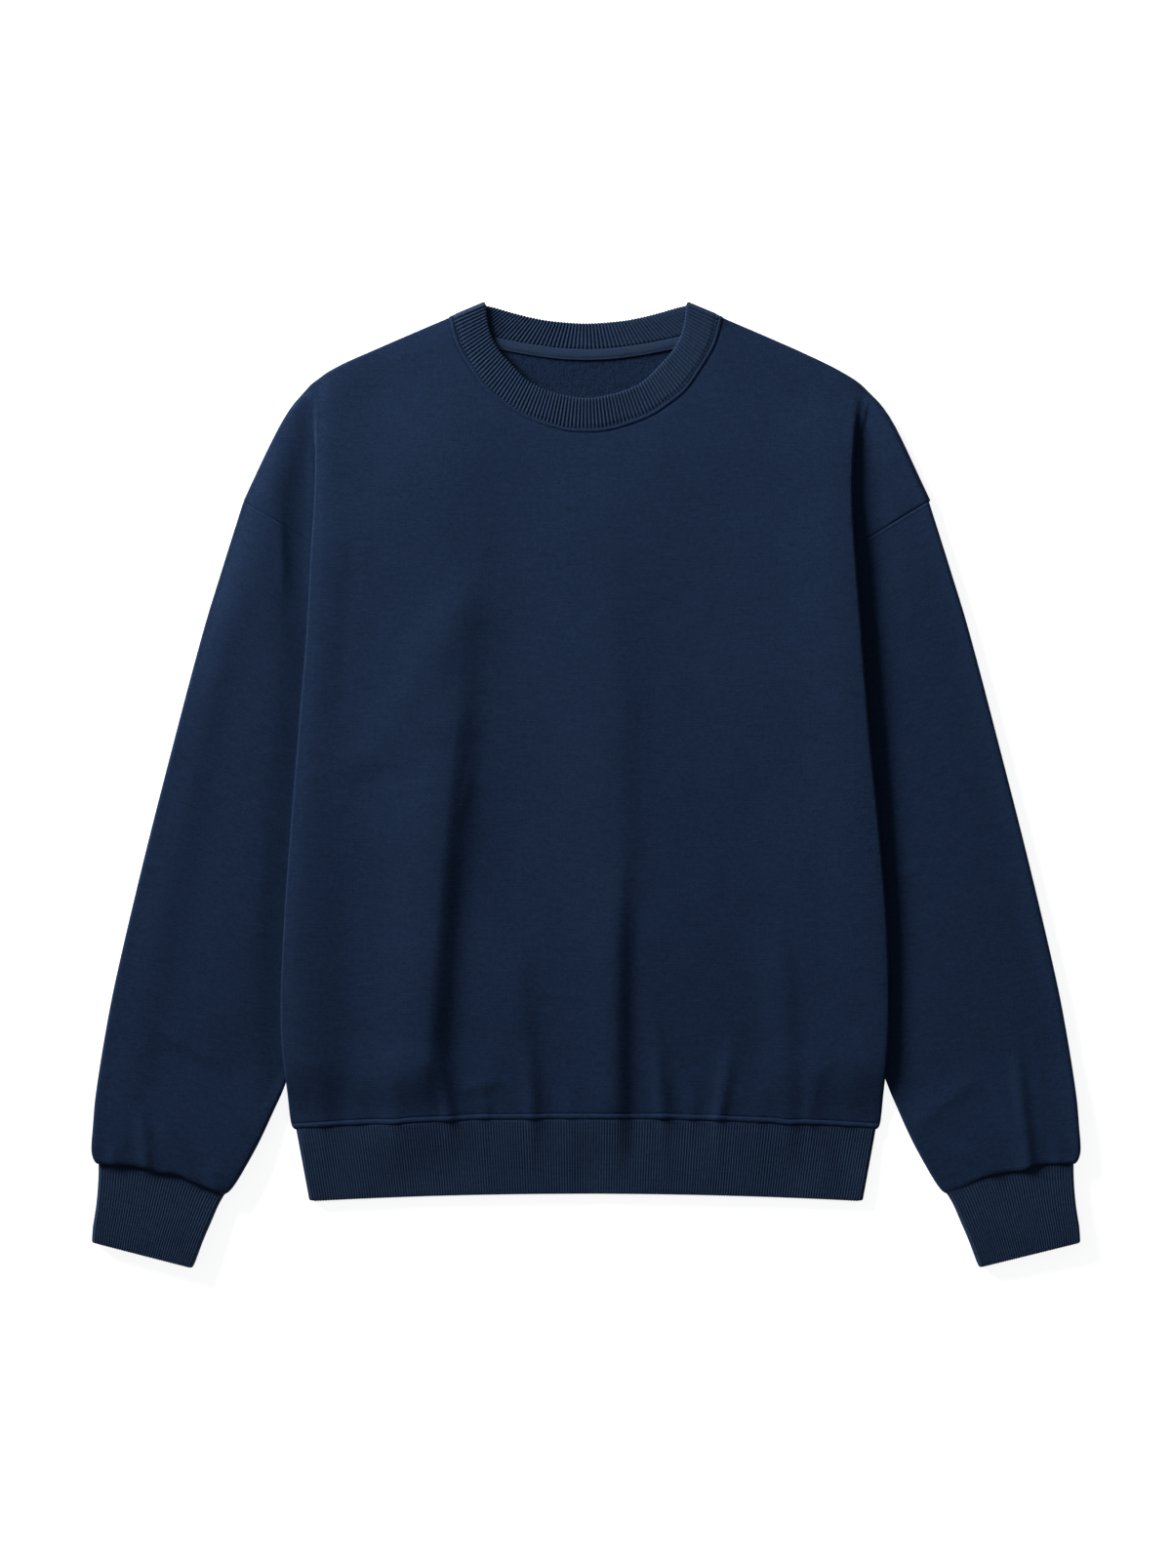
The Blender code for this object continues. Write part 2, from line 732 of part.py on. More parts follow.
def make_neck_tape(material, collection):
    level = FLEECE + SEAM_GAP + TAPE / 2
    rows = ([], [])
    shares = BACK_NECK_SHARES[1:-1] + [TAPE_REACH]
    for share in [-share for share in reversed(shares)] + [0.0] + shares:
        (x, y), (dx, dy) = point_at(BACK_NECK_LINE, abs(share))
        way = -1 if share < 0 else 1
        for row, below in zip(rows, (SEAM_GAP, TAPE_WIDTH)):
            row.append((way * (x + dy * below), y - dx * below, level))
    bm = bmesh.new()
    add_grid(bm, rows)
    return add_piece("neck_tape", bm, material, collection, TAPE)


# ---------------------------------------------------------------- flat tubes
def flat_ring(upper, lower, ways_out, upper_count, lower_count):
    """Round a flattened tube: share round it, place, and the way its outside faces.

    upper and lower give the middle of the cloth at 0 to 1 across the tube, on its two
    layers; ways_out are the plan directions of the turns at 1 and at 0.
    """
    ring = []
    for i in range(upper_count + 1):
        ring.append((0.25 * i / upper_count, upper(i / upper_count), (0.0, 0.0, 1.0)))
    turns = ((upper, lower, 1.0, 1.0), (lower, upper, 0.0, -1.0))
    for turn, (from_layer, to_layer, at, first_up) in enumerate(turns):
        start = from_layer(at)
        end = to_layer(at)
        nx, ny = ways_out[turn]
        radius = abs(start[2] - end[2]) / 2
        for step in range(1, ARC_STEPS):
            angle = math.pi * step / ARC_STEPS
            out = math.sin(angle)
            up = first_up * math.cos(angle)
            place = (start[0] + nx * radius * out, start[1] + ny * radius * out,
                     (start[2] + end[2]) / 2 + radius * up)
            share = 0.25 + 0.5 * turn + 0.25 * step / ARC_STEPS
            ring.append((share, place, (nx * out, ny * out, up)))
        if turn == 0:
            for i in range(lower_count + 1):
                ring.append((0.5 + 0.25 * i / lower_count, lower(1 - i / lower_count),
                             (0.0, 0.0, -1.0)))
    return ring


# ---------------------------------------------------------------- sleeves
def sleeve_plan(along, across):
    """Seen from above: along the sleeve, and across from its outer to its inner edge."""
    outer_y = mix(ARMHOLE_END[1], SLEEVE_OUTER[0][0], along)
    inner_y = mix(UNDERARM[1], SLEEVE_INNER[0][0], along)
    to_cap = ARMHOLE_END[0] + EDGE_INSET - along_table(SLEEVE_OUTER, ARMHOLE_END[1])
    outer_x = along_table(SLEEVE_OUTER, outer_y) - EDGE_INSET + to_cap * (1 - along) ** 8
    inner_x = along_table(SLEEVE_INNER, inner_y) + EDGE_INSET * ease(along * 8)
    bow = ARMHOLE_BULGE * (1 - along) ** 3 + SLEEVE_END_BULGE * along ** 6
    y = mix(outer_y, inner_y, across) + bow * math.sin(math.pi * across)
    return mix(outer_x, inner_x, across), y - SEAM_GAP * (1 - along) ** 8


def sleeve_fold_height(along, across, side):
    total = SLEEVE_PUFF * math.sin(math.pi * across)
    for of_side, along_0, along_1, across_0, across_1, width, height in SLEEVE_FOLDS:
        t = (along - along_0) / (along_1 - along_0)
        if of_side == side and -0.2 < t < 1.2:
            fade = ease((t + 0.2) / 0.5)
            if along_1 < 0.99:
                fade *= ease((1.2 - t) / 0.5)
            centre = mix(across_0, across_1, t)
            total += height * fade * math.exp(-((across - centre) / width) ** 2)
    return total


def sleeve_upper(along, across, side):
    x, y = sleeve_plan(along, across)
    clear = ease((x - body_edge(y, side) - 1.0) / 14.0) * ease(along * 7)
    return side * x, y, CAP_LEVEL + clear * sleeve_fold_height(along, across, side)


def sleeve_lower(along, across, side):
    x, y = sleeve_plan(along, across)
    return side * x, y, FLOOR_LEVEL


def sleeve_ways_out(along, side):
    """Plan directions of the sleeve's inner and outer turn."""
    outer = sleeve_plan(along, 0.0)
    inner = sleeve_plan(along, 1.0)
    length = math.dist(outer, inner)
    outward = ((outer[0] - inner[0]) / length, (outer[1] - inner[1]) / length)
    inward = (-side * outward[0], -outward[1])
    if along < NEAR:
        _, outward = inset_outline(1.0, EDGE_INSET)
    return inward, (side * outward[0], outward[1])


def make_sleeve(name, side, material, collection):
    bm = bmesh.new()
    rings = []
    for i in range(SLEEVE_STATIONS + 1):
        along = i / SLEEVE_STATIONS
        ring = flat_ring(lambda across: sleeve_upper(along, across, side),
                         lambda across: sleeve_lower(along, across, side),
                         sleeve_ways_out(along, side), SLEEVE_UPPER, SLEEVE_LOWER)
        places = [place for _, place, _ in ring]
        rings.append(places + places[:1])
    add_grid(bm, rings)
    return add_piece(name, bm, material, collection, FLEECE)


# ---------------------------------------------------------------- rib knit pieces
def rib_tube(name, tube, stations, ribs, plain, material, collection):
    """A flattened tube of doubled rib knit, ribbed where it faces up.

    tube is the functions upper and lower, which give the middle of the cloth at a share
    across and down the tube, and ways_out.  ribs are their numbers on the upper layer and
    on the lower layer's inner face, which only the neckband shows.
    """
    upper, lower, ways_out = tube
    ribs_outside, ribs_inside = ribs
    bm = bmesh.new()
    loops = {"outside": [], "inside": []}
    for down in stations:
        for face in loops:
            outside = face == "outside"
            upper_count = 2 * ribs_outside if outside else plain
            lower_count = 2 * ribs_inside if ribs_inside and not outside else plain
            ring = flat_ring(lambda across: upper(across, down), lambda across: lower(across, down),
                             ways_out(down), upper_count, lower_count)
            first_ribbed = 0 if outside else upper_count + ARC_STEPS
            ribbed_count = upper_count if outside else 2 * ribs_inside
            loop = []
            for i, (share, place, way) in enumerate(ring):
                column = i - first_ribbed
                depth = RIB / 2
                if 0 < column < ribbed_count and column % 2 == 1:
                    depth += RIB_RAISE
                sign = 1 if outside else -1
                moved = [p + sign * depth * w for p, w in zip(place, way)]
                loop.append((share, bm.verts.new(to_metres(moved))))
            loops[face].append(loop)
    for face in loops.values():
        for loop, next_loop in zip(face, face[1:]):
            zip_loops(bm, loop, next_loop)
    for end in (0, -1):
        zip_loops(bm, loops["outside"][end], loops["inside"][end])
    return add_piece(name, bm, material, collection)


def neckband_place(seam_line, edge_curve, across, down):
    """Neckband from above: across it from left to right, down it from its seam."""
    share = abs(2 * across - 1)
    (x, y), (dx, dy) = point_at(seam_line, share)
    edge, _ = point_at(edge_curve, share)
    x = mix(x - dy * SEAM_GAP, edge[0], down)
    y = mix(y + dx * SEAM_GAP, edge[1], down)
    return (x if across > 0.5 else -x), y, share


def make_collar(material, collection):
    def upper(across, down):
        x, y, share = neckband_place(FRONT_NECK_LINE, FRONT_EDGE_CURVE, across, down)
        seam_x, seam_y, _ = neckband_place(FRONT_NECK_LINE, FRONT_EDGE_CURVE, across, 0.0)
        seam_level = front_level(seam_x, seam_y, -1 if across < 0.5 else 1)
        edge_at = mix(COLLAR_EDGE_LEVEL, COLLAR_SIDE_LEVEL, ease(share))
        return x, y, mix(seam_level, edge_at, down)

    def lower(across, down):
        x, y, _ = neckband_place(BACK_NECK_LINE, BACK_EDGE_CURVE, across, down)
        return x, y, RIB_FLOOR_LEVEL

    def ways_out(down):
        nx, ny = COLLAR_WAY_OUT
        return (nx, ny), (-nx, ny)

    return rib_tube("collar", (upper, lower, ways_out), (0.0, 1.0),
                    (COLLAR_FRONT_RIBS, COLLAR_BACK_RIBS), COLLAR_PLAIN, material, collection)


def hem_place(across, down):
    """Hem band from above: across it from left to right, down it from its seam."""
    half = mix(HEM_HALF_TOP, HEM_HALF_END, down) - RIB_INSET
    x = mix(-half, half, across)
    end_y = HEM_END_Y - HEM_END_DIP * (x / HEM_HALF_END) ** 2
    into_corner = HEM_CORNER - (half - abs(x)) - RIB_INSET
    if into_corner > 0:
        end_y += HEM_CORNER - math.sqrt(max(0.0, HEM_CORNER ** 2 - into_corner ** 2))
    return x, mix(hem_seam_y(x) - SEAM_GAP, end_y, down)


def make_hem_band(material, collection):
    def upper(across, down):
        x, y = hem_place(across, down)
        side = -1 if x < 0 else 1
        seam_level = front_level(x, hem_seam_y(x), side) + RIB_FLOOR_LEVEL - FLOOR_LEVEL
        return x, y, mix(seam_level, RIB_FLOOR_LEVEL + RIB_LAYER_STEP, ease(2 * down))

    def lower(across, down):
        x, y = hem_place(across, down)
        return x, y, RIB_FLOOR_LEVEL

    def ways_out(down):
        return (1.0, 0.0), (-1.0, 0.0)

    return rib_tube("hem_band", (upper, lower, ways_out), (0.0, 1.0), (HEM_RIBS, 0), HEM_PLAIN,
                    material, collection)


def cuff_place(across, down):
    """Cuff from above: across it from its outer to its inner edge, down it from its seam."""
    outer_y = mix(CUFF_OUTER[-1][0], CUFF_OUTER[0][0], down)
    inner_y = mix(CUFF_INNER[-1][0], CUFF_INNER[0][0], down)
    outer = (along_table(CUFF_OUTER, outer_y) - RIB_INSET, outer_y)
    inner = (along_table(CUFF_INNER, inner_y) + RIB_INSET, inner_y)
    x = mix(outer[0], inner[0], across)
    y = mix(outer[1], inner[1], across)
    seam_x, seam_y = sleeve_plan(1.0, mix(CUFF_FROM, CUFF_TO, across))
    seam_y -= SEAM_GAP * (1 + (2 * across - 1) ** 4)
    at_seam = (1 - down) ** 2
    return mix(x, seam_x, at_seam), mix(y, seam_y, at_seam)


def make_cuff(name, side, material, collection):
    def upper(across, down):
        x, y = cuff_place(across, down)
        gathers = sleeve_fold_height(1.0, mix(CUFF_FROM, CUFF_TO, across), side) * (1 - ease(3 * down))
        return side * x, y, RIB_FLOOR_LEVEL + RIB_LAYER_STEP + gathers

    def lower(across, down):
        x, y = cuff_place(across, down)
        return side * x, y, RIB_FLOOR_LEVEL

    def ways_out(down):
        outer = cuff_place(0.0, down)
        inner = cuff_place(1.0, down)
        length = math.dist(outer, inner)
        nx = side * (outer[0] - inner[0]) / length
        ny = (outer[1] - inner[1]) / length
        return (-nx, -ny), (nx, ny)

    return rib_tube(name, (upper, lower, ways_out), (0.0, 0.4, 1.0), (CUFF_RIBS, 0), CUFF_PLAIN,
                    material, collection)


# ---------------------------------------------------------------- the garment
def main():
    for old in list(bpy.data.objects):
        bpy.data.objects.remove(old, do_unlink=True)
    collection = collection_for_garment()
    fleece = cloth_material("fleece", (0.011, 0.021, 0.048), 0.9)
    rib = cloth_material("rib", (0.011, 0.020, 0.042), 0.85)
    tape = cloth_material("tape", (0.017, 0.029, 0.060), 0.8)
    make_front(fleece, collection)
    make_back(fleece, collection)
    make_neck_tape(tape, collection)
    make_collar(rib, collection)
    make_hem_band(rib, collection)
    for name, side in (("left", -1), ("right", 1)):
        make_sleeve("sleeve_" + name, side, fleece, collection)
        make_cuff("cuff_" + name, side, rib, collection)


main()
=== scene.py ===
# %% [markdown]
# # A crewneck sweatshirt, laid flat
#
# The object is cut and sewn from two knits.  Body and sleeves are fleece: a smooth
# jersey face outside and a brushed pile inside.  Neckband, cuffs and hem band are rib
# knit, folded double.  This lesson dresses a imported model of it: each solid is replaced
# by a thin sheet of cloth with the same cut, made finely enough to carry its creases,
# seams and ribs, and each cloth gets a material of its own.

# %% Load the frame
import bmesh
import bpy
import math
from mathutils import Matrix, Vector, noise


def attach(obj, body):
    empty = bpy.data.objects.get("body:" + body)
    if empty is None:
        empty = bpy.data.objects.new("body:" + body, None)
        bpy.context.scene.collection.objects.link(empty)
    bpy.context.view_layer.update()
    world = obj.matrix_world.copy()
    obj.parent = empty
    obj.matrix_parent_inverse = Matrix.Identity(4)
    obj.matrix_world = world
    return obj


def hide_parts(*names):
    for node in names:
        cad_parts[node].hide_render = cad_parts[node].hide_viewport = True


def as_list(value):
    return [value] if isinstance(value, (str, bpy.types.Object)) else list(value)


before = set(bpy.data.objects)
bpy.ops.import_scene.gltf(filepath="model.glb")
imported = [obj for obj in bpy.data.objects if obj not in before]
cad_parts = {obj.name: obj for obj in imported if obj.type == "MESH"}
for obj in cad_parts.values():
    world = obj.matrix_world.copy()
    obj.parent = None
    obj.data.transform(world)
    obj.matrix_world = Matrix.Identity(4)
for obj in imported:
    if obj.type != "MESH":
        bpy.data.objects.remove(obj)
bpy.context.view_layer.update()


print("solids:", ", ".join(sorted(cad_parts)))

# %% [markdown]
# ## Camera
#
# A garment that is laid flat is best seen from straight above.  A short lens from near
# by would do, but its view leans outwards at the edges; a long lens three metres up
# shows the cut as it is.

# %% Camera
VIEW_HEIGHT = 3.0
VIEW_LENGTH = 1.2213    # metres of floor, from the bottom to the top of the view
VIEW_MIDDLE = (-0.0004, 0.0)
TRUE_LEVEL = 0.006      # lengths at this height are seen at their true size


def add_object(name, data):
    made = bpy.data.objects.new(name, data)
    bpy.context.scene.collection.objects.link(made)
    return made


camera_data = bpy.data.cameras.new("camera")
camera_data.type = 'PERSP'
camera_data.sensor_width = 36.0
camera_data.lens = camera_data.sensor_width * VIEW_HEIGHT / VIEW_LENGTH
camera = add_object("camera", camera_data)
camera.location = (*VIEW_MIDDLE, VIEW_HEIGHT + TRUE_LEVEL)
bpy.context.scene.camera = camera
bpy.context.scene.view_settings.view_transform = "Standard"
print("camera straight above, lens", round(camera_data.lens), "mm")

# %% [markdown]
# ## Floor
#
# The garment lies on a white light table.  A matt floor would need lamps of its own to
# come out white; one that glows by itself is white everywhere and takes no hard shadow.

# %% Floor
FLOOR_HALF = 3.0
FLOOR_DOWN = 0.0004     # just below the lowest ribs of the cloth


def new_material(name):
    material = bpy.data.materials.new(name)
    material.use_nodes = True
    return material, material.node_tree.nodes["Principled BSDF"]


floor_mesh = bmesh.new()
bmesh.ops.create_grid(floor_mesh, x_segments=1, y_segments=1, size=FLOOR_HALF,
                      matrix=Matrix.Translation((0.0, 0.0, -FLOOR_DOWN)))
floor_data = bpy.data.meshes.new("floor")
floor_mesh.to_mesh(floor_data)
floor_mesh.free()
floor = add_object("floor", floor_data)
floor_material, floor_shader = new_material("light_table")
floor_shader.inputs["Base Color"].default_value = (0.85, 0.85, 0.85, 1.0)
floor_shader.inputs["Roughness"].default_value = 1.0
floor_shader.inputs["Emission Color"].default_value = (1.0, 1.0, 1.0, 1.0)
floor_shader.inputs["Emission Strength"].default_value = 0.85
floor_data.materials.append(floor_material)
print("floor", 2 * FLOOR_HALF, "m wide")

# %% [markdown]
# ## Light
#
# Dark cloth shows its shape by shading alone.  A lamp overhead would wash the soft
# creases out, so one broad lamp stands low at the upper left, and a dim room fills in.

# %% Light
def add_lamp(name, place, aim, power, size, spread):
    data = bpy.data.lights.new(name, 'AREA')
    data.energy = power
    data.size = size
    data.spread = math.radians(spread)
    lamp = add_object(name, data)
    lamp.location = place
    lamp.rotation_euler = (Vector(aim) - Vector(place)).to_track_quat('-Z', 'Y').to_euler()


add_lamp("key", place=(-2.2, 2.0, 0.95), aim=(0.15, 0.7, 0.0), power=50.0, size=1.3, spread=85.0)
world = bpy.data.worlds.new("soft_room")
bpy.context.scene.world = world
world.use_nodes = True
room = world.node_tree.nodes["Background"]
room.inputs["Color"].default_value = (0.95, 0.97, 1.0, 1.0)
room.inputs["Strength"].default_value = 0.135
print("one low soft lamp and a dim room")

# %% [markdown]
# ## The sizes
#
# All lengths are in millimetres and become metres where a point is laid into a mesh.
# Curves of the cut are short tables.  They could be drawn as curve objects, but pieces
# that are sewn together share an edge, and one table for that edge keeps them together.
# The garment lies as a stack: back on the floor, sleeves with their inner edge tucked
# under the body, and the front on top, whose side edges are turned under.

# %% Cloth and stack
FLEECE = 2.0
RIB = 2.4
TAPE = 0.8
SEAM_GAP = 0.3
SEAM_OVER = 0.15        # sewn edges run this far into each other, so that no light shows
FLOOR_LEVEL = FLEECE / 2
RIB_FLOOR_LEVEL = RIB / 2
FOLD_ARC = 5.0          # cloth in one half turn of a folded edge
FOLD_RADIUS = FOLD_ARC / math.pi
LAYER_STEP = 2 * FOLD_RADIUS
CAP_LEVEL = FLOOR_LEVEL + LAYER_STEP
EDGE_INSET = FOLD_RADIUS + FLEECE / 2
FRONT_LEVEL = 4.4
NECK_LEVEL = 5.8
TUCK = 28.0
SEAM_BESIDE_EDGE = 8.0
BACK_RISES_AT = 62.0
UNDERARM = (190.0, 171.0)
CREASE_TOP_Y = 317.0
APEX_Y = -235.0
SHOULDER_UNDER = 7.0
UNDER_AT_NECK = 2.0
ARMHOLE_BULGE = 1.2
NEAR = 1e-6
FAR = 1e3
MM = 0.001
print("a layer step is", round(LAYER_STEP, 2), "mm")

# %% [markdown]
# ## The cut of the body
#
# Front and back share side edge, shoulder and hem seam.  The two necklines differ: the
# front's is scooped out for the throat and the back's is nearly straight.

# %% Cut of the body
BODY_EDGE = (  # y, left, right half width
    (-268.7, 228.6, 228.2), (-262.0, 230.4, 229.8), (-245.0, 232.2, 231.4),
    (-187.0, 237.5, 236.0), (-111.0, 235.2, 234.5), (-35.0, 229.9, 228.4),
    (41.0, 223.8, 220.8), (117.0, 217.7, 214.7), (208.0, 213.2, 207.9),
    (290.0, 211.0, 202.0), (317.0, 209.5, 200.5),
)
SHOULDER = (  # x, y from the neck to the armhole
    (104.5, 365.2), (142.5, 349.2), (169.9, 337.1), (193.4, 325.7), (212.4, 314.3),
    (223.8, 302.9), (232.2, 291.5), (244.3, 268.7), (267.1, 220.0),
)
FRONT_NECK = (  # x, y of the seam below the neckband
    (0.0, 277.0), (18.8, 278.6), (46.0, 287.6), (62.0, 297.5), (76.0, 309.0),
    (86.2, 323.6), (94.0, 336.0), (98.3, 345.0), (101.2, 355.0), (102.9, 363.0),
)
FRONT_COLLAR_EDGE = (  # x, y of the neckband's folded edge in front
    (0.0, 300.1), (19.0, 302.9), (34.2, 307.9), (46.4, 314.9), (59.7, 328.7),
    (67.3, 337.4), (71.9, 345.0), (74.9, 352.6), (77.0, 362.3), (78.0, 373.2),
)
NECK_CORNER = FRONT_NECK[-1]    # where neck seam and shoulder seam meet
BACK_NECK = (
    (0.0, 338.6), (20.0, 339.4), (42.0, 342.3), (60.0, 345.6), (75.0, 349.0),
    (88.0, 352.4), (96.0, 355.3), (100.4, 358.4), (102.9, 363.0),
)
BACK_COLLAR_EDGE = (
    (0.0, 359.1), (25.0, 360.8), (40.0, 363.3), (53.0, 366.5), (65.0, 370.0),
    (72.0, 372.0), (78.0, 373.2),
)
HEM_SEAM_Y = -261.0
HEM_SEAM_DIP = 7.6
HEM_END_Y = -319.2
HEM_END_DIP = 5.8
HEM_HALF_TOP = 226.0
HEM_HALF_END = 215.6
HEM_CORNER = 5.0
print("body", 2 * BODY_EDGE[3][1], "mm wide at its widest")

# %% [markdown]
# ## The cut of sleeves and cuffs
#
# A sleeve is given by its outer and its inner folded edge as it lies, and not by the
# flat pattern it was cut from, because those two edges are what has to be met.

# %% Cut of the sleeves and cuffs
SLEEVE_OUTER = (  # y, x of the outer folded edge
    (-294.5, 382.6), (-286.0, 384.9), (-267.0, 383.8), (-244.0, 381.9), (-199.0, 375.1),
    (-153.0, 366.3), (-62.0, 345.0), (29.0, 321.9), (120.5, 297.8), (166.0, 284.0),
    (220.0, 267.1),
)
SLEEVE_INNER = (  # y, x of the inner folded edge, under the body above APEX_Y
    (-318.0, 279.0), (-312.0, 274.0), (-301.0, 267.1), (-279.0, 255.0), (-256.0, 244.3),
    (-235.0, 235.0), (-205.0, 226.0), (-170.0, 219.0), (-120.0, 212.0), (-60.0, 205.0),
    (0.0, 200.5), (60.0, 198.0), (120.0, 196.0), (150.0, 194.0), (171.0, 190.0),
)
SLEEVE_END_BULGE = 5.0
SLEEVE_PUFF = 1.1
CUFF_FROM = 0.03
CUFF_TO = 0.985
CUFF_OUTER = (  # y, x
    (-357.5, 384.8), (-347.0, 384.2), (-335.5, 381.9), (-324.0, 380.4), (-312.7, 379.6),
    (-296.5, 379.8),
)
CUFF_INNER = (
    (-375.8, 306.2), (-369.7, 303.6), (-358.3, 299.8), (-346.9, 295.3), (-335.5, 291.5),
    (-324.1, 285.6), (-319.0, 281.6),
)
RIB_LAYER_STEP = 3.4
RIB_INSET = RIB_LAYER_STEP / 2 + RIB / 2
COLLAR_EDGE_LEVEL = 9.0
COLLAR_SIDE_LEVEL = 4.6
COLLAR_WAY_OUT = (0.39, 0.92)
print("sleeve", round(SLEEVE_OUTER[-1][0] - SLEEVE_OUTER[0][0]), "mm long at its outer edge")

# %% [markdown]
# ## Curves
#
# A few helpers turn the tables into smooth curves: a value along a table, points spread
# along a curve by its length, and a soft step that fades one shape into another.  Plain
# functions are used, because every place of the cloth is worked out from them.

# %% Helpers for curves
def ease(t):
    """0 to 1 with soft ends."""
    t = min(1.0, max(0.0, t))
    return t * t * (3 - 2 * t)


def mix(a, b, t):
    return a + (b - a) * t


def hill(distance, half_width):
    """1 at the middle of a soft hill, almost 0 at twice its half width."""
    return math.exp(-(distance / half_width) ** 2)


def waves(table, at):
    """Several hills in one; the table has the middle, half width and rise of each."""
    return sum(rise * hill(at - middle, width) for middle, width, rise in table)


def side_of(x):
    """-1 left of the middle, 1 right of it."""
    return -1 if x < 0 else 1


print("half way up a soft step:", ease(0.5))

# %% [markdown]
# ## Curves through a table
#
# A cut is known at a few places only.  Straight lines between them would show as corners
# on the outline, and a curve object would need reading back; these functions give any
# place between two rows of a table, smoothly.

# %% Curves through a table
def along_table(rows, at, column=1):
    """Smooth value of a table's column, where its first column equals at."""
    last = len(rows) - 1
    if at <= rows[0][0]:
        return rows[0][column]
    if at >= rows[last][0]:
        return rows[last][column]
    k = 0
    while rows[k + 1][0] <= at:
        k += 1

    def slope(i):
        low, high = rows[max(0, i - 1)], rows[min(last, i + 1)]
        return (high[column] - low[column]) / (high[0] - low[0])

    span = rows[k + 1][0] - rows[k][0]
    t = (at - rows[k][0]) / span
    here, there = rows[k][column], rows[k + 1][column]
    return ((2 * t ** 3 - 3 * t ** 2 + 1) * here + (t ** 3 - 2 * t ** 2 + t) * span * slope(k)
            + (3 * t ** 2 - 2 * t ** 3) * there + (t ** 3 - t ** 2) * span * slope(k + 1))


def table_curve(rows, fine=12):
    """Points of a smooth curve through a table of x, y, with the length up to each.

    A table that starts at the middle, x = 0, starts level, so that its mirror image
    carries on smoothly.
    """
    points = []
    first = (-rows[1][0], rows[1][1]) if rows[0][0] == 0 else rows[0]
    for i in range(len(rows) - 1):
        before, after = rows[i - 1] if i else first, rows[min(len(rows) - 1, i + 2)]
        for step in range(fine):
            t = step / fine
            points.append(tuple(
                0.5 * (2 * p + (q - a) * t + (2 * a - 5 * p + 4 * q - b) * t * t
                       + (3 * p - a - 3 * q + b) * t ** 3)
                for a, p, q, b in zip(before, rows[i], rows[i + 1], after)))
    points.append(tuple(rows[-1]))
    lengths = [0.0]
    for p, q in zip(points, points[1:]):
        lengths.append(lengths[-1] + math.dist(p, q))
    return points, lengths


def point_at(curve, share):
    """Point and direction at a share of a curve's length."""
    points, lengths = curve
    wanted = share * lengths[-1]
    i = 0
    while i < len(points) - 2 and lengths[i + 1] <= wanted + 1e-9:
        i += 1
    t = (wanted - lengths[i]) / (lengths[i + 1] - lengths[i])
    p, q = points[i], points[i + 1]
    step = math.dist(p, q)
    return (mix(p[0], q[0], t), mix(p[1], q[1], t)), ((q[0] - p[0]) / step, (q[1] - p[1]) / step)


SHOULDER_CURVE = table_curve(SHOULDER)
FRONT_NECK_CURVE = table_curve(FRONT_NECK)
FRONT_EDGE_CURVE = table_curve(FRONT_COLLAR_EDGE)
BACK_NECK_CURVE = table_curve(BACK_NECK)
BACK_EDGE_CURVE = table_curve(BACK_COLLAR_EDGE)
print("front neck seam", round(2 * FRONT_NECK_CURVE[1][-1]), "mm, back",
      round(2 * BACK_NECK_CURVE[1][-1]), "mm")

# %% [markdown]
# ## Creases
#
# Cloth that is laid down by hand keeps a few long soft creases, and gathers where it is
# sewn to a shorter band.  A simulation would put them anywhere; here each is listed
# as a ridge with a slow side and a steep side, a trough or a short tuck, and a
# faint smooth noise keeps the rest from looking ironed.

# %% Creases of the front
LONG_CREASES = (  # x, y at the top, x half way, x, y below, slow side, steep side, height
    (-98.0, 170.0, -99.0, -101.0, 40.0, 28.0, 16.0, 1.4),
    (-100.0, 70.0, -115.0, -126.5, -226.0, 36.0, 14.0, 5.8),
    (-120.0, -205.0, -138.0, -152.0, -325.0, 54.0, 50.0, 4.4),
    (22.0, 150.0, 30.0, 22.0, -275.0, 34.0, 14.0, 1.7),
    (26.0, -60.0, 22.0, 23.0, -250.0, 18.0, 7.5, 1.9),
    (150.0, -105.0, 158.0, 157.0, -275.0, 16.0, 8.0, 1.3),
    (-181.0, 190.0, -187.0, -194.0, 60.0, 7.0, 8.0, -0.8),
    (-112.0, 320.0, -112.0, -122.0, -60.0, 48.0, 40.0, 1.5),
    (-82.0, 165.0, -122.0, -170.0, 15.0, 22.0, 34.0, 1.7),
    (12.0, 330.0, 10.0, 10.0, -290.0, 50.0, 62.0, 1.9),
    (-176.0, -60.0, -180.0, -182.0, -290.0, 22.0, 24.0, -0.7),
    (-97.0, -60.0, -100.0, -107.0, -250.0, 8.0, 13.0, -1.2),
    (-56.0, -125.0, -52.0, -42.0, -290.0, 36.0, 12.0, 2.3),
    (-150.0, 300.0, -152.0, -155.0, -40.0, 34.0, 60.0, 1.2),
    (36.0, -90.0, 35.0, 36.0, -290.0, 7.0, 9.0, -1.4),
    (132.0, 60.0, 140.0, 138.0, -290.0, 30.0, 34.0, -1.2),
    (128.0, -215.0, 130.0, 132.0, -325.0, 30.0, 40.0, 2.2),
)
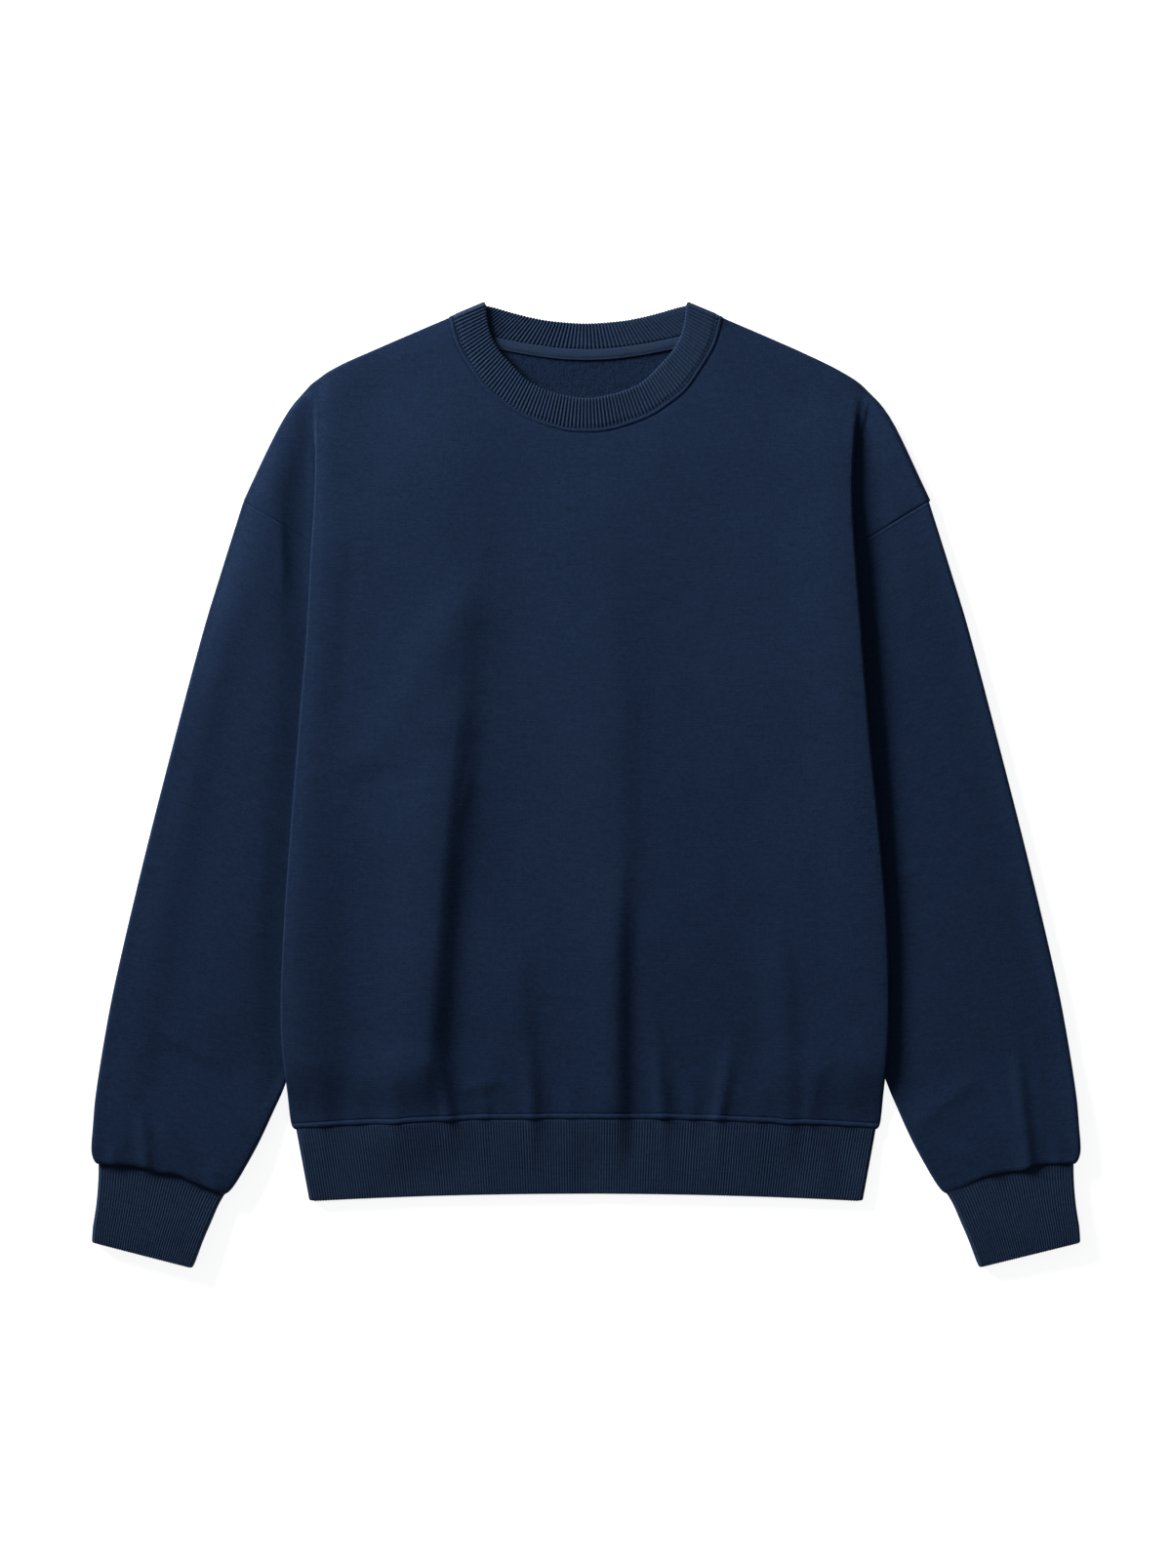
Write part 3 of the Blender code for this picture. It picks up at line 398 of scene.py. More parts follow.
GATHERS = (  # x, y of the top, x at the hem, half width, height
    (-207.0, -222.0, -205.0, 7.0, 1.0),
    (-176.0, -236.0, -178.0, 6.0, 0.7),
    (-150.0, -240.0, -149.0, 5.0, 0.8),
    (-114.0, -222.0, -107.0, 5.5, 2.0),
    (-78.0, -238.0, -80.0, 5.0, 0.9),
    (-43.0, -208.0, -42.0, 4.5, 1.3),
    (-14.0, -240.0, -12.0, 5.0, 0.7),
    (52.0, -190.0, 60.0, 5.5, 2.0),
    (84.0, -236.0, 82.0, 4.5, 0.8),
    (117.0, -196.0, 103.0, 5.5, 1.7),
    (137.0, -240.0, 135.0, 5.0, 0.7),
    (181.0, -194.0, 175.0, 5.0, 1.1),
    (206.0, -236.0, 204.0, 6.0, 0.5),
)
SHORT_TUCKS = (  # x, y from, x, y to, half width, height
    (-36.0, -162.0, -6.0, -165.0, 2.2, 0.45),
    (-6.0, -165.0, 14.0, -174.0, 2.2, 0.45),
    (-90.0, 6.0, -96.0, -18.0, 3.0, 0.6),
    (-70.0, -232.0, -92.0, -236.0, 4.0, 0.8),
    (-150.0, -6.0, -118.0, -1.0, 2.5, 0.3),
    (-146.0, -16.0, -120.0, -12.0, 2.5, 0.3),
    (196.0, -214.0, 182.0, -226.0, 3.0, 0.6),
)
UNEVEN = (  # mm across, mm up, height of the faint noise
    (60.0, 75.0, 0.55), (22.0, 30.0, 0.14), (30.0, 9.0, 0.07),
)
HEM_WAVE = (  # x, half width, rise of the hem seam
    (-150.0, 9.0, -0.9), (-80.0, 12.0, 0.5), (62.0, 10.0, 0.5), (104.0, 8.0, 0.4),
    (158.0, 8.0, -1.0),
)


def crease_height(creases, x, y):
    total = 0.0
    for top_x, top_y, middle_x, bottom_x, bottom_y, slow, steep, height in creases:
        t = (y - top_y) / (bottom_y - top_y)
        if -0.1 < t < 1.1:
            centre = mix(mix(top_x, middle_x, t), mix(middle_x, bottom_x, t), t)
            beside = x - centre
            fade = ease((t + 0.1) / 0.4) * ease((1.1 - t) / 0.15)
            total += height * fade * hill(beside, slow if beside < 0 else steep)
    return total


def gather_height(x, y):
    total = 0.0
    for top_x, top_y, hem_x, width, height in GATHERS:
        t = (top_y + 20.0 - y) / (top_y + 20.0 - HEM_SEAM_Y)
        if t > 0:
            narrowing = width * mix(1.5, 0.9, min(1, t))
            total += height * ease(t * 1.2) * hill(x - mix(top_x, hem_x, t), narrowing)
    return total


def tuck_height(tucks, x, y):
    total = 0.0
    for x0, y0, x1, y1, width, height in tucks:
        run_x, run_y = x1 - x0, y1 - y0
        run = math.hypot(run_x, run_y)
        t = ((x - x0) * run_x + (y - y0) * run_y) / run ** 2
        if -0.4 < t < 1.4:
            off = ((x - x0) * run_y - (y - y0) * run_x) / run
            if abs(off) < 3 * width:
                total += height * ease((t + 0.4) / 0.6) * ease((1.4 - t) / 0.6) * hill(off, width)
    return total


def uneven_height(x, y, seed):
    return sum(height * noise.noise(Vector((x / wide, y / tall, seed)))
               for wide, tall, height in UNEVEN)


print(len(LONG_CREASES), "long creases,", len(GATHERS), "gathers,", len(SHORT_TUCKS), "tucks")

# %% [markdown]
# ## Seams
#
# Beside a seam the cloth dips to the needle, swells over the seam allowance that lies
# under it, and is drawn down again by the row of stitches at the allowance's edge.  A
# bump in the material could hint at it; under a low lamp the real ridge looks better.

# %% Beside a seam
SEAM_DIP = 0.8


def seam_swell(distance, width, height, stitch_dip):
    """How far the cloth rises, this far from the seam, over an allowance of this width."""
    if distance > 3 * width:
        return 0.0
    over = min(1.0, max(0.0, distance / width))
    swell = height * math.sin(math.pi * over) ** 0.6
    return swell - SEAM_DIP * hill(distance, 0.7) - stitch_dip * hill(distance - width - 0.3, 0.7)


NECK_SEAM = (3.2, 0.6, 0.4)     # width and height of the swell, dip of the stitches
HEM_SEAM = (3.8, 1.1, 0.35)
ARM_SEAM = (3.0, 0.15, 0.12)
print("the neck seam's ridge is", NECK_SEAM[0], "mm wide")

# %% [markdown]
# ## The body's shape
#
# One row of cloth runs from the middle to the side, turns under, and above the arm turns
# back out again as the cap over the upper arm, like a flat S.  A flat outline with some
# thickness would be simpler, but it has no folds to throw a shadow along the arms.
# These functions say where each place of such a row lies, so that front, back, sleeves
# and bands agree.

# %% Outline of the body
CREASE_BOTTOM_Y = BODY_EDGE[0][0]


def body_edge(y, side):
    return along_table(BODY_EDGE, y, 1 if side < 0 else 2)


def hem_seam_y(x):
    return HEM_SEAM_Y - HEM_SEAM_DIP * (x / HEM_HALF_TOP) ** 2 + waves(HEM_WAVE, x)


def shoulder_y(x):
    return along_table(SHOULDER, x)


def above_underarm(y):
    """0 at the underarm, 1 where the side fold dies out on the shoulder."""
    return (y - UNDERARM[1]) / (CREASE_TOP_Y - UNDERARM[1])


def lift(y):
    return ease((y - APEX_Y + 27.0) / 48.0)


print("underarm at", UNDERARM[1], "mm, side fold ends at", CREASE_TOP_Y, "mm")

# %% [markdown]
# ## The side edge
#
# Along the side the cloth lies on the tucked edge of the sleeve, and towards the shoulder
# its fold opens out and dies away.  It could keep one height all the way, but then it
# would cut through the sleeve or float over it.

# %% Level of the side edge
FOLD_ARC_ABOVE = {-1: 2.3, 1: 3.6}  # cloth in the half turn near the shoulder, by side


def side_fold(rise, side):
    """Arc, turn and straight run of the side fold, which opens out towards the shoulder."""
    if rise <= 0:
        return FOLD_ARC, math.pi, mix(TUCK, SEAM_BESIDE_EDGE, ease(-rise * 1.9))
    arc = mix(FOLD_ARC, FOLD_ARC_ABOVE[side], ease(rise / 0.6))
    angle = math.pi * (1 - ease((rise - 0.3) / 0.7))
    return arc, angle, mix(TUCK, 0.8, ease(rise / 0.38))


def fold_drop(arc, angle):
    return 0.0 if angle < NEAR else 2 * arc / angle * (1 - math.cos(angle))


EDGE_LIFT = {-1: 0.0, 1: 1.8}   # the right side edge stands a little higher over its sleeve
EDGE_HUMP = {-1: 0.0, 1: 2.0}   # and most at its middle
FOLD_SHAPE = {-1: 0.55, 1: 0.9} # below 1 the folded edge is pressed squarer than a round


def edge_level(y, side):
    rise = above_underarm(y)
    lifted = EDGE_LIFT[side] + EDGE_HUMP[side] * hill(y - 86.0, 95.0)
    lifted *= ease((y + 190.0) / 120.0) * (1 - ease((y - 170.0) / 100.0))
    if rise > 0:
        return CAP_LEVEL + lifted + fold_drop(*side_fold(rise, side)[:2])
    return CAP_LEVEL + lifted + 2 * LAYER_STEP * lift(y)


print("the side edge stands", round(edge_level(0.0, 1), 1), "mm high half way down")

# %% [markdown]
# ## The front's height
#
# The front's height is a plain soft shape with the creases laid on top.  A simulated fall
# would give it creases of its own; here the shape is stated, so that each can be placed.

# %% Level of the front
EDGE_ROLL = {-1: 1.6, 1: 0.2}   # the cloth swells a little before it turns under
LOFT = 5.0              # the middle stands this much off the back
LOFT_FROM_Y = -262.0    # where it starts, at the hem seam
SHOULDER_ROLL = 2.0     # the cloth falls this much before it rolls over the shoulder
NECK_MIDDLE = (0.0, 300.0)


def front_level(x, y, side):
    """Middle of the front's cloth over the floor, with its long creases."""
    inside = body_edge(y, side) - abs(x)
    away = math.dist((x, y), NECK_MIDDLE)
    below_shoulder = shoulder_y(abs(x)) - y
    near_neck = mix(0.4, 1.0, ease((away - 25.0) / 100.0))
    loft = ease((y - LOFT_FROM_Y) / 145.0) * ease((below_shoulder - 8.0) / 105.0) * near_neck
    middle = FRONT_LEVEL + LOFT * loft
    slow = mix(190.0, 60.0, ease((y - 20.0) / 270.0))
    fall = mix(ease((inside - 12.0) / 50.0), ease((inside - 14.0) / slow), 0.6)
    level = mix(edge_level(y, side), middle, fall)
    level += EDGE_ROLL[side] * ease(inside / 10.0) * (1 - ease((inside - 14.0) / 40.0))
    beside_neck = ease((abs(x) - 100.0) / 10.0)
    level -= SHOULDER_ROLL * beside_neck * max(0.0, 1 - below_shoulder / 24.0) ** 2
    level += (NECK_LEVEL - FRONT_LEVEL) * (1 - ease((away - 60.0) / 80.0))
    share = ease((inside - 6.0) / 40.0)
    return level + share * crease_height(LONG_CREASES, x, y)


def front_detail(x, y, side, from_neck=FAR):
    """Gathers, tucks, unevenness and seam swells on top of the front's level."""
    inside = body_edge(y, side) - abs(x)
    share = ease(inside / 22.0)
    over_hem = y - hem_seam_y(x)
    detail = share * (tuck_height(SHORT_TUCKS, x, y) + uneven_height(x, y, 0.0))
    if over_hem < 90.0:
        detail += share * gather_height(x, y)
    detail += seam_swell(over_hem, *HEM_SEAM)
    return detail + seam_swell(from_neck, *NECK_SEAM)


print("the front's middle stands", round(front_level(0.0, 0.0, 1), 1), "mm high")

# %% [markdown]
# ## Shoulder and armhole
#
# Shoulder edge, armhole seam and the rows between them are given by shares from 0 to 1.
# Fixed lengths would be simpler to read, but shares let two pieces meet at the same place
# whatever their number of rows.

# %% Shoulder and armhole
def follow_shoulder(rise, x, start_x):
    along = EDGE_INSET / 2
    return ease((rise - 0.6) / 0.4) * (shoulder_y(x + along) - shoulder_y(start_x + along))


def inset_outline(share, inset):
    """On the shoulder and cap, moved in from the silhouette; with its way out."""
    (x, y), (dx, dy) = point_at(SHOULDER_CURVE, share)
    return (x + inset * dy, y - inset * dx), (-dy, dx)


SHOULDER_LENGTH = SHOULDER_CURVE[1][-1]
CREASE_SHARE = min(s for s, p in zip(SHOULDER_CURVE[1], SHOULDER_CURVE[0])
                   if p[1] <= CREASE_TOP_Y) / SHOULDER_LENGTH
AFTER_CREASE_SHARE = CREASE_SHARE + 15.0 / SHOULDER_LENGTH
FOLD_TOP_Y = inset_outline(CREASE_SHARE, EDGE_INSET)[0][1]
ARMHOLE_END = inset_outline(1.0, EDGE_INSET)[0]


def armhole_point(share):
    """On the armhole seam, 0 at the underarm and 1 at the shoulder's edge."""
    return (mix(UNDERARM[0], ARMHOLE_END[0], share),
            mix(UNDERARM[1], ARMHOLE_END[1], share) + ARMHOLE_BULGE * math.sin(math.pi * share))


def row_share(crease_y):
    return (crease_y - CREASE_BOTTOM_Y) / (CREASE_TOP_Y - CREASE_BOTTOM_Y)


def beside_fold_y(crease_y, x):
    return mix(hem_seam_y(x), FOLD_TOP_Y, row_share(crease_y))


print("armhole seam", round(math.dist(UNDERARM, ARMHOLE_END)), "mm across")

# %% [markdown]
# ## Laying cloth into a mesh
#
# A sheet could be built face by face, but Blender's own grid gives the quads at once, and
# each of its corners is then laid where the cloth goes.  Every place also carries its
# two lengths along the uncut cloth, kept as a UV map in metres, so that a knit pattern
# follows the cloth round folds at its real size.

# %% Cloth helpers
MERGE = 0.004           # mm; corners nearer than this are one


def lay_cloth(bm, rows):
    """Quads through rows of places (x, y, z, across the cloth, up the cloth), in mm."""
    columns = len(rows[0])
    before = len(bm.faces)
    made = bmesh.ops.create_grid(bm, x_segments=columns - 1, y_segments=len(rows) - 1,
                                 size=1.0)["verts"]
    layer = bm.loops.layers.uv.get("cloth") or bm.loops.layers.uv.new("cloth")
    cloth = {}
    for i, vertex in enumerate(made):
        x, y, z, u, v = rows[i // columns][i % columns]
        vertex.co = (x * MM, y * MM, z * MM)
        cloth[vertex] = (u * MM, v * MM)
    bm.faces.ensure_lookup_table()
    for face in bm.faces[before:]:
        for loop in face.loops:
            loop[layer].uv = cloth[loop.vert]


def faces_up(bm, x, y):
    """Turns all faces over if the one nearest to a place on top looks down."""
    top = max(bm.faces, key=lambda f: f.calc_center_median().z
              - 5 * math.dist(f.calc_center_median()[:2], (x * MM, y * MM)))
    if top.normal.z < 0:
        bmesh.ops.reverse_faces(bm, faces=bm.faces)


def finish_cloth(name, bm, materials, thickness=None, up_at=None):
    """A finished piece; an open sheet becomes a wall of this thickness."""
    bmesh.ops.remove_doubles(bm, verts=bm.verts, dist=MERGE * MM)
    bmesh.ops.recalc_face_normals(bm, faces=bm.faces)
    if up_at:
        faces_up(bm, *up_at)
    mesh = bpy.data.meshes.new(name)
    bm.to_mesh(mesh)
    bm.free()
    mesh.shade_smooth()
    piece = add_object(name, mesh)
    for material in materials:
        mesh.materials.append(material)
    if thickness:
        wall = piece.modifiers.new("cloth thickness", 'SOLIDIFY')
        wall.thickness = thickness * MM
        wall.offset = 0.0
        wall.material_offset = len(materials) - 1
    print(name, len(mesh.polygons), "faces before its wall")
    return piece


def spread(start, end, step):
    """Even places from start to end, about step apart, with both ends."""
    count = max(1, round(abs(end - start) / step))
    return [mix(start, end, i / count) for i in range(count + 1)]


SEAM_STEPS = (0.0, 0.6, 1.2, 1.9, 2.6, 3.2, 3.8, 4.5, 5.4, 6.8, 8.8)    # rows beside a seam
print("cloth is laid in rows, down to", SEAM_STEPS[1], "mm apart beside a seam")

# %% [markdown]
# ## A knit
#
# Jersey shows as fine columns of V-shaped loops about a millimetre wide, the rib's loops
# are larger, and the brushed inside is a soft felt with no columns.  Loops could be
# modelled, but body and sleeves alone have close to a million.  One node group lays
# loops, fibres and faint streaks along the cloth's own lengths instead.

# %% A knit as a node group
def new_group(name, inputs, outputs):
    group = bpy.data.node_groups.new(name, 'ShaderNodeTree')
    for socket, kind, value in inputs:
        made = group.interface.new_socket(name=socket, in_out='INPUT', socket_type=kind)
        if value is not None:
            made.default_value = value
    for socket, kind in outputs:
        group.interface.new_socket(name=socket, in_out='OUTPUT', socket_type=kind)
    return group, group.nodes.new("NodeGroupInput"), group.nodes.new("NodeGroupOutput")


def node_maker(tree):
    """Short ways to add a math, vector or noise node whose inputs are sockets or numbers."""

    def fill(node, values):
        for socket, value in zip(node.inputs, values):
            if isinstance(value, bpy.types.NodeSocket):
                tree.links.new(value, socket)
            elif value is not None:
                socket.default_value = value
        return node

    def maths(operation, *values):
        node = tree.nodes.new("ShaderNodeMath")
        node.operation = operation
        return fill(node, values).outputs[0]

    def vector(operation, *values):
        node = tree.nodes.new("ShaderNodeVectorMath")
        node.operation = operation
        if operation == 'SCALE':
            values = (values[0], None, None, values[1])
        return fill(node, values).outputs[0]

    def fuzz(place, scale, detail=2.0, roughness=0.5):
        node = tree.nodes.new("ShaderNodeTexNoise")
        tree.links.new(place, node.inputs["Vector"])
        node.inputs["Scale"].default_value = scale
        node.inputs["Detail"].default_value = detail
        node.inputs["Roughness"].default_value = roughness
        return maths('SUBTRACT', node.outputs["Fac"], 0.5)

    return maths, vector, fuzz


print("nodes can be made by short calls")

# %% [markdown]
# ## The knit's own nodes
#
# The group takes a place on the cloth and gives a colour and a height.  The columns of
# loops come from a sawtooth across the cloth and a sine up it; an image of a knit would do
# the same but would blur close by and repeat far off.

# %% A knit as a node group
knit, knit_in, knit_out = new_group("knit", (
    ("Cloth", 'NodeSocketVector', None),
    ("Wale", 'NodeSocketFloat', 0.0011),
    ("Course", 'NodeSocketFloat', 0.0008),
    ("Loops", 'NodeSocketFloat', 1.0),
    ("Fibres", 'NodeSocketFloat', 1.0),
    ("Streaks", 'NodeSocketFloat', 1.0),
    ("Painted furrow shade", 'NodeSocketFloat', 0.0),
    ("Colour", 'NodeSocketColor', (0.01, 0.02, 0.05, 1.0)),
), (("Colour", 'NodeSocketColor'), ("Height", 'NodeSocketFloat')))
maths, vector, fuzz = node_maker(knit)
wander = knit.nodes.new("ShaderNodeTexNoise")
cloth_place = knit_in.outputs["Cloth"]
knit.links.new(cloth_place, wander.inputs["Vector"])
wander.inputs["Scale"].default_value = 90.0
wandered = vector('ADD', cloth_place, vector('SCALE', wander.outputs["Color"], 0.0012))
split = knit.nodes.new("ShaderNodeSeparateXYZ")
knit.links.new(wandered, split.inputs[0])
column = maths('FRACT', maths('DIVIDE', split.outputs["X"], knit_in.outputs["Wale"]))
slant = maths('ABSOLUTE', maths('SUBTRACT', maths('MULTIPLY', column, 2.0), 1.0))
arms = maths('SUBTRACT', 1.0, maths('ABSOLUTE', maths(
    'SUBTRACT', maths('MULTIPLY', slant, 2.0), 1.0)))
turns = maths('SINE', maths('MULTIPLY', maths('ADD', maths('DIVIDE', split.outputs["Y"],
              knit_in.outputs["Course"]), slant), 2 * math.pi))
loops = maths('MULTIPLY', arms, maths('MULTIPLY_ADD', turns, 0.35, 0.65))
fibres = maths('ADD', fuzz(cloth_place, 800.0, 3.0, 0.65),
               maths('MULTIPLY', fuzz(cloth_place, 260.0, 1.0), 0.35))
streaks = maths('ADD', fuzz(vector('MULTIPLY', cloth_place, (55.0, 900.0, 1.0)), 1.0, 1.0),
                maths('MULTIPLY', fuzz(cloth_place, 60.0, 2.0), 0.4))
plain = knit.nodes.new("ShaderNodeSeparateXYZ")
knit.links.new(cloth_place, plain.inputs[0])
# Painted shade: the colour is darkened along the furrow between ribs, where shade falls.
crest = maths('ABSOLUTE', maths('SUBTRACT', maths('MULTIPLY', maths('FRACT', maths(
    'DIVIDE', plain.outputs["X"], knit_in.outputs["Wale"])), 2.0), 1.0))
furrow = maths('MAXIMUM', maths('SUBTRACT', 1.0, maths('MULTIPLY', crest, 2.2)), 0.0)
tone = maths(
    'ADD',
    maths('MULTIPLY', maths('SUBTRACT', loops, 0.35),
          maths('MULTIPLY', knit_in.outputs["Loops"], 0.35)),
    maths('ADD',
          maths('MULTIPLY', fibres, maths('MULTIPLY', knit_in.outputs["Fibres"], 0.9)),
          maths('MULTIPLY', streaks, maths('MULTIPLY', knit_in.outputs["Streaks"], 0.3))))
# The painted shade in the furrows is taken off the colour here.
tone = maths('SUBTRACT', tone, maths('MULTIPLY', furrow, knit_in.outputs["Painted furrow shade"]))
shaded = vector('SCALE', knit_in.outputs["Colour"],
                maths('MAXIMUM', maths('ADD', tone, 1.0), 0.2))
knit.links.new(shaded, knit_out.inputs["Colour"])
height = maths('ADD', maths('MULTIPLY', loops, knit_in.outputs["Loops"]),
               maths('MULTIPLY', fibres, knit_in.outputs["Fibres"]))
knit.links.new(height, knit_out.inputs["Height"])
print("knit group with", len(knit.nodes), "nodes")

# %% [markdown]
# ## The cloths
#
# Fleece face, brushed inside, rib, tape and thread are the same dye on different knits.
# Five separate materials could each have their own nodes; here each is the knit group
# with its own loop size, colour and strengths, so that they keep to one family.

# %% The cloths
def cloth_material(name, colour, roughness, settings, relief, sheen):
    """A knit with its own loop size; sheen is its weight and roughness."""
    material, shader = new_material(name)
    tree = material.node_tree
    cloth = tree.nodes.new("ShaderNodeUVMap")
    cloth.uv_map = "cloth"
    group = tree.nodes.new("ShaderNodeGroup")
    group.node_tree = knit
    tree.links.new(cloth.outputs["UV"], group.inputs["Cloth"])
    group.inputs["Colour"].default_value = (*colour, 1.0)
    for socket, value in settings.items():
        group.inputs[socket].default_value = value
    bump = tree.nodes.new("ShaderNodeBump")
    bump.inputs["Strength"].default_value = 0.6
    bump.inputs["Distance"].default_value = relief * MM
    tree.links.new(group.outputs["Height"], bump.inputs["Height"])
    tree.links.new(bump.outputs["Normal"], shader.inputs["Normal"])
    tree.links.new(group.outputs["Colour"], shader.inputs["Base Color"])
    shader.inputs["Roughness"].default_value = roughness
    shader.inputs["Specular IOR Level"].default_value = 0.1
    shader.inputs["Sheen Weight"].default_value = sheen[0]
    shader.inputs["Sheen Roughness"].default_value = sheen[1]
    shader.inputs["Sheen Tint"].default_value = (0.4, 0.6, 1.0, 1.0)
    return material


jersey = cloth_material("fleece_face", (0.0110, 0.0260, 0.0655), 0.92,
                        {"Wale": 0.0011, "Course": 0.0008, "Loops": 1.0, "Fibres": 1.6,
                         "Streaks": 1.5}, 0.5, (0.02, 0.5))
brushed = cloth_material("fleece_inside", (0.0085, 0.0205, 0.0520), 0.98,
                         {"Wale": 0.0020, "Course": 0.0020, "Loops": 0.15, "Fibres": 3.0,
                          "Streaks": 1.6}, 1.0, (0.03, 0.6))
# The rib's colour carries painted shade in its furrows.
rib_knit = cloth_material("rib", (0.0168, 0.0345, 0.0755), 0.9,
                          {"Wale": 0.0020, "Course": 0.0013, "Loops": 0.5, "Fibres": 1.0,
                           "Streaks": 1.6, "Painted furrow shade": 0.55}, 0.3, (0.02, 0.5))
tape_knit = cloth_material("tape", (0.0210, 0.0390, 0.0830), 0.85,
                           {"Wale": 0.0009, "Course": 0.0011, "Loops": 0.8, "Fibres": 0.7,
                            "Streaks": 0.5}, 0.25, (0.03, 0.5))
thread = cloth_material("thread", (0.0140, 0.0260, 0.0560), 0.7,
                        {"Wale": 0.0006, "Course": 0.0006, "Loops": 0.5, "Fibres": 0.4,
                         "Streaks": 0.0}, 0.1, (0.02, 0.4))
print("five cloths and threads")

# %% [markdown]
# ## The front
#
# The front is one panel.  Its middle is a plain grid; a narrow border with its own rows
# follows the neckline, so that the ridge beside the neckband keeps an even width; at the
# sides the cloth turns under, and above the arm it turns out again as the cap.  The
# shoulder edge is rolled to the back, where the shoulder seam hides.

# %% Columns and rows of the front
NECK_COLUMNS = 48
SHOULDER_COLUMNS = 26
ARC_STEPS = 8
BORDER = SEAM_STEPS[-1]


def neck_border(share):
    """On the neck seam, and the way across the border, which ends along the shoulder."""
    (x, y), (dx, dy) = point_at(FRONT_NECK_CURVE, share)
    if share < NEAR:
        dx, dy = 1.0, 0.0
    shoulder, _ = inset_outline(BORDER / SHOULDER_LENGTH, EDGE_INSET)
    end = ((shoulder[0] - NECK_CORNER[0]) / BORDER, (shoulder[1] - NECK_CORNER[1]) / BORDER)
    turn = ease((share - 0.8) / 0.2)
    return (x, y), (mix(dy, end[0], turn), mix(-dx, end[1], turn))


def front_columns():
    """Where each column of the panel ends: on the neck border, then on the shoulder."""
    columns = []
    for i in range(NECK_COLUMNS + 1):
        (x, y), (out_x, out_y) = neck_border(i / NECK_COLUMNS)
        columns.append((x + BORDER * out_x, y + BORDER * out_y))
    first = BORDER / SHOULDER_LENGTH
    for share in spread(first, CREASE_SHARE, CREASE_SHARE / SHOULDER_COLUMNS)[1:]:
        columns.append(inset_outline(share, EDGE_INSET)[0])
    return columns


def crease_rows():
    """Heights at the body's edge, one for each row of cloth, finer beside the hem seam."""
    rows = [CREASE_BOTTOM_Y + step for step in SEAM_STEPS[:-1]]
    rows += spread(CREASE_BOTTOM_Y + BORDER, UNDERARM[1], 3.1)[:-1]
    return rows + spread(UNDERARM[1], CREASE_TOP_Y, 3.0)


FRONT_ROWS = crease_rows()
FRONT_COLUMNS = front_columns()
print("front grid", 2 * len(FRONT_COLUMNS), "by", len(FRONT_ROWS))

# %% [markdown]
# ## Upper rows of the front
#
# The upper face could be one flat sheet trimmed to the outline, but then its edge would
# cut through quads.  Rows that run from the middle to the edge keep their quads whole,
# and their last place is where the fold begins.

# %% Upper rows of the front
HEM_ROUND = 4.0         # the body's lower corners are rounded over the hem band
HEM_DRAWN_IN = 2.2


def hem_pull(crease_y):
    """How far the side edge is drawn in just above the hem seam."""
    t = max(0.0, 1 - (crease_y - CREASE_BOTTOM_Y) / HEM_ROUND)
    return HEM_DRAWN_IN * (1 - math.sqrt(max(0.0, 1 - t * t)))


def from_neck_seam(x, y):
    """Rough distance outside the neck seam; only places near it matter."""
    if y < 265.0 or abs(x) > 125.0:
        return FAR
    nearest = FAR
    for px, py in FRONT_NECK_CURVE[0][::3]:
        nearest = min(nearest, math.dist((abs(x), y), (px, py)))
    return max(BORDER, nearest)


def front_top_row(crease_y, side, columns):
    """The front's upper face along one row, from the middle to the side fold."""
    share = row_share(crease_y)
    widest = columns[-1][0]
    turn_x = body_edge(crease_y, side) - EDGE_INSET - hem_pull(crease_y)
    row = []
    for x_top, y_top in columns:
        x = mix(x_top / widest * turn_x, x_top, ease((share - 0.75) / 0.25))
        y = mix(hem_seam_y(side * x), y_top, share)
        x *= side
        z = front_level(x, y, side) + front_detail(x, y, side, from_neck_seam(x, y))
        row.append((x, y, z, x, y))
    return row


print("the hem seam draws the side edge in by", hem_pull(CREASE_BOTTOM_Y), "mm")

# %% [markdown]
# ## The side fold
#
# Where the garment lies down, its side is a fold: the cloth turns round and runs back
# under itself.  A bevelled slab would look alike from above but has nothing beneath; a
# turned row throws the fold's own shadow on the sleeve.

# %% Side fold
RUN_SHARES = (0.2, 0.4, 0.6, 0.8, 1.0)


def side_fold_row(start, crease_y, side):
    """From where the upper face ends, round the fold and back under the body."""
    rise = above_underarm(crease_y)
    arc, angle, run = side_fold(rise, side)
    radius = arc / angle if angle > NEAR else 0.0
    x, z, u = abs(start[0]), start[2], abs(start[3])
    places = []
    power = mix(FOLD_SHAPE[side], 1.0, ease(rise / 0.3))
    for step in range(1, ARC_STEPS + 1):
        turned = angle * step / ARC_STEPS
        if radius:
            out, up = math.sin(turned), math.cos(turned)
            places.append((x + radius * max(0.0, out) ** power,
                           z - radius * (1 - math.copysign(abs(up) ** power, up))))
        else:
            places.append((x + arc * step / ARC_STEPS, z))
    end_x, end_z = places[-1]
    for share in RUN_SHARES:
        places.append((end_x + run * math.cos(angle) * share,
                       end_z - run * math.sin(angle) * share))
    row = []
    for step, (px, pz) in enumerate(places, 1):
        y = beside_fold_y(crease_y, px) + follow_shoulder(rise, px, x)
        in_run = run * max(0, step - ARC_STEPS) / len(RUN_SHARES)
        length = arc * min(step, ARC_STEPS) / ARC_STEPS + in_run
        row.append((side * px, y, pz, side * (u + length), y))
    return row


print("the side is turned under by", SEAM_BESIDE_EDGE, "to", TUCK, "mm")

# %% [markdown]
# ## Upper layer of cap and sleeve
#
# With a dropped shoulder the body's cloth reaches over the upper arm as a cap, and the
# sleeve carries its surface on down to the cuff.  Two surfaces could be matched at the
# armhole seam; one height for both can't come apart there.

# %% Height of cap and sleeve
ARM_RUN = (ARMHOLE_END[0] - UNDERARM[0], ARMHOLE_END[1] - UNDERARM[1])
ARM_RUN_LENGTH = math.hypot(*ARM_RUN)


